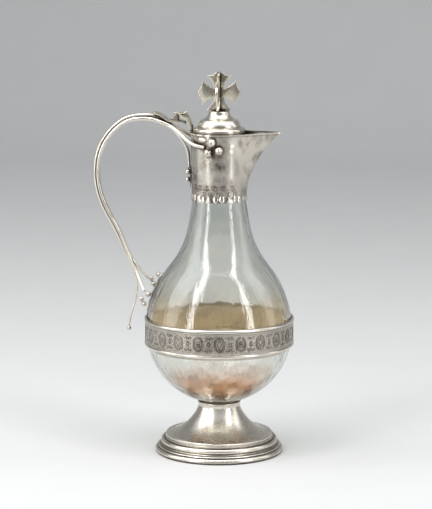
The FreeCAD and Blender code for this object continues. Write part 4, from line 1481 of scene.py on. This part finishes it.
def lay_paper():
    """One sheet of paper for the floor and the backdrop, in metres."""
    paper = material_named("matt background paper", paper_floor)
    bend_start = 1.3
    bend = 0.6
    steps = 12
    profile = [(-3.0, 0.0), (0.0, 0.0), (bend_start, 0.0)]
    for step in range(1, steps + 1):
        turn = math.pi / 2 * step / steps
        profile.append((bend_start + bend * math.sin(turn), bend * (1 - math.cos(turn))))
    profile.append((bend_start + bend, 3.2))
    # The sheet is turned up at its sides, so that no edge of it shows from there.
    right_wing = [(2.7, 0.0), (3.1, 0.25), (3.4, 0.75), (3.6, 1.5)]
    wings = [(-x, lift) for x, lift in reversed(right_wing)] + right_wing
    verts = []
    for y, z in profile:
        verts += [(x, y, z + lift) for x, lift in wings]
    faces = grid_faces(len(profile), len(wings))
    mesh = bpy.data.meshes.new("floor_and_backdrop")
    mesh.from_pydata(verts, [], faces)
    mesh.materials.append(paper)
    mesh.polygons.foreach_set("use_smooth", [True] * len(faces))
    floor = bpy.data.objects.new("floor_and_backdrop", mesh)
    bpy.context.scene.collection.objects.link(floor)


def set_camera(settings):
    azimuth = settings.azimuth
    back = Vector((math.sin(azimuth), -math.cos(azimuth), 0.0))
    right = Vector((math.cos(azimuth), math.sin(azimuth), 0.0))
    aim = right * settings.aim_aside + Vector((0, 0, settings.aim_height))
    camera_data = bpy.data.cameras.new("photo_camera")
    camera_data.sensor_width = 36.0
    camera_data.lens = settings.lens
    camera_data.clip_start = 0.05
    camera_data.clip_end = 20.0
    camera = bpy.data.objects.new("photo_camera", camera_data)
    bpy.context.scene.collection.objects.link(camera)
    camera.location = back * settings.distance + Vector((0, 0, settings.height))
    camera.rotation_euler = (aim - camera.location).to_track_quat("-Z", "Y").to_euler()
    bpy.context.scene.camera = camera


def hang_lamps(settings):
    # Each side lamp leans in over the cruet, so that its mirror image runs down the whole bottle.
    # Bearings are degrees from the camera; the other sizes are metres.
    for name, bearing, rise, reach, wide, tall, share in (
        ("left_strip_light", -47.0, 0.66, 0.75, 0.16, 1.5, 1.5),
        ("left_softbox", -84.0, 0.66, 0.75, 0.5, 1.5, 1.1),
        ("right_strip_light", 51.0, 0.66, 0.75, 0.12, 1.5, 1.2),
        ("right_softbox", 92.0, 0.66, 0.75, 0.3, 1.5, 0.4),
        ("top_softbox", 0.0, 1.5, 0.35, 0.7, 0.5, 0.8),
    ):
        turn = settings.azimuth + math.radians(bearing)
        lamp = bpy.data.lights.new(name, "AREA")
        lamp.shape = "RECTANGLE"
        lamp.size = wide
        lamp.size_y = tall
        lamp.energy = settings.softbox_power * share
        holder = bpy.data.objects.new(name, lamp)
        bpy.context.scene.collection.objects.link(holder)
        holder.location = Vector((math.sin(turn) * reach, -math.cos(turn) * reach, rise))
        look = Vector((0, 0, LAMP_AIM_HEIGHT)) - holder.location
        holder.rotation_euler = look.to_track_quat("-Z", "Y").to_euler()


def light_room():
    """A plain studio that is dim at eye level and bright overhead."""
    world = bpy.data.worlds.new("studio")
    bpy.context.scene.world = world
    world.use_nodes = True
    tree = world.node_tree
    tree.nodes.clear()
    way = add_node(tree, "TexCoord").outputs["Generated"]
    split = add_node(tree, "SeparateXYZ", {0: way})
    sky = add_node(tree, "MapRange", {"Value": split.outputs[2], 1: 0.2, 2: 0.7, 3: 0.07, 4: 0.9})
    white = opaque(linear("#E9ECF0"))
    room = add_node(tree, "Background", {"Color": white, "Strength": sky.outputs[0]})
    add_node(tree, "OutputWorld", {"Surface": room.outputs[0]})


def make_stage():
    settings = bpy.context.scene.cruet_stage
    bpy.context.scene.view_settings.view_transform = "Standard"
    lay_paper()
    set_camera(settings)
    hang_lamps(settings)
    light_room()


# Operators


class CRUET_OT_foot(bpy.types.Operator):
    """Finish the spun foot and its lip ring"""

    bl_idname = "cruet.foot"
    bl_label = "Foot"

    def execute(self, context):
        make_foot()
        return {"FINISHED"}


class CRUET_OT_bottle(bpy.types.Operator):
    """Finish the blown bottle, the plaster behind its mounts and the dried wine inside it"""

    bl_idname = "cruet.bottle"
    bl_label = "Bottle"

    def execute(self, context):
        make_bottle()
        return {"FINISHED"}


class CRUET_OT_girdle(bpy.types.Operator):
    """Finish the girdle and cut its roundels and scrolls"""

    bl_idname = "cruet.girdle"
    bl_label = "Girdle"

    def execute(self, context):
        make_girdle()
        return {"FINISHED"}


class CRUET_OT_collar(bpy.types.Operator):
    """Finish the collar and spout, cut its border and set the petals round its lower edge"""

    bl_idname = "cruet.collar"
    bl_label = "Collar"

    def execute(self, context):
        make_collar()
        return {"FINISHED"}


class CRUET_OT_lid(bpy.types.Operator):
    """Finish the lid, its arm with foliage and the cross finial"""

    bl_idname = "cruet.lid"
    bl_label = "Lid"

    def execute(self, context):
        make_lid()
        return {"FINISHED"}


class CRUET_OT_hinge(bpy.types.Operator):
    """Finish the strap, the pin and the rivet of the hinge"""

    bl_idname = "cruet.hinge"
    bl_label = "Hinge"

    def execute(self, context):
        make_hinge()
        return {"FINISHED"}


class CRUET_OT_handle(bpy.types.Operator):
    """Draw the three vine stems of the handle"""

    bl_idname = "cruet.handle"
    bl_label = "Handle stems"

    def execute(self, context):
        make_handle()
        return {"FINISHED"}


class CRUET_OT_berries(bpy.types.Operator):
    """Cast the berries and the bud of the tendril"""

    bl_idname = "cruet.berries"
    bl_label = "Berries"

    def execute(self, context):
        make_berries()
        return {"FINISHED"}


class CRUET_OT_leaves(bpy.types.Operator):
    """Chase the leaves on the collar"""

    bl_idname = "cruet.leaves"
    bl_label = "Leaves"

    def execute(self, context):
        make_leaves()
        return {"FINISHED"}


class CRUET_OT_bracket(bpy.types.Operator):
    """Chase the leaf that carries the lower end of the handle"""

    bl_idname = "cruet.bracket"
    bl_label = "Handle bracket"

    def execute(self, context):
        make_bracket()
        return {"FINISHED"}


class CRUET_OT_stage(bpy.types.Operator):
    """Set up the floor, the lamps and the camera"""

    bl_idname = "cruet.stage"
    bl_label = "Stage"

    def execute(self, context):
        make_stage()
        return {"FINISHED"}


class CRUET_PT_panel(bpy.types.Panel):
    """Lists the pieces of the cruet and their settings"""

    bl_idname = "CRUET_PT_panel"
    bl_label = "Altar cruet"
    bl_space_type = "VIEW_3D"
    bl_region_type = "UI"
    bl_category = "Altar cruet"

    def draw(self, context):
        layout = self.layout
        for operator in OPERATORS:
            layout.operator(operator.bl_idname)
        for group in SETTINGS:
            box = layout.box()
            holder = getattr(context.scene, group)
            for name in holder.bl_rna.properties.keys():
                if name not in {"rna_type", "name"}:
                    box.prop(holder, name)


OPERATORS = (
    CRUET_OT_foot,
    CRUET_OT_bottle,
    CRUET_OT_girdle,
    CRUET_OT_collar,
    CRUET_OT_lid,
    CRUET_OT_hinge,
    CRUET_OT_handle,
    CRUET_OT_berries,
    CRUET_OT_leaves,
    CRUET_OT_bracket,
    CRUET_OT_stage,
)

SETTINGS = {
    "cruet_silver": CruetSilverSettings,
    "cruet_glass": CruetGlassSettings,
    "cruet_handle": CruetHandleSettings,
    "cruet_ornament": CruetOrnamentSettings,
    "cruet_stage": CruetStageSettings,
}


def register():
    for name, group in SETTINGS.items():
        bpy.utils.register_class(group)
        setattr(bpy.types.Scene, name, PointerProperty(type=group))
    for operator in OPERATORS:
        bpy.utils.register_class(operator)
    bpy.utils.register_class(CRUET_PT_panel)


def unregister():
    bpy.utils.unregister_class(CRUET_PT_panel)
    for operator in reversed(OPERATORS):
        bpy.utils.unregister_class(operator)
    for name, group in SETTINGS.items():
        delattr(bpy.types.Scene, name)
        bpy.utils.unregister_class(group)


def main():
    register()
    bpy.ops.cruet.foot()
    bpy.ops.cruet.bottle()
    bpy.ops.cruet.girdle()
    bpy.ops.cruet.collar()
    bpy.ops.cruet.lid()
    bpy.ops.cruet.hinge()
    bpy.ops.cruet.handle()
    bpy.ops.cruet.berries()
    bpy.ops.cruet.leaves()
    bpy.ops.cruet.bracket()
    bpy.ops.cruet.stage()


if __name__ == "__main__":
    main()
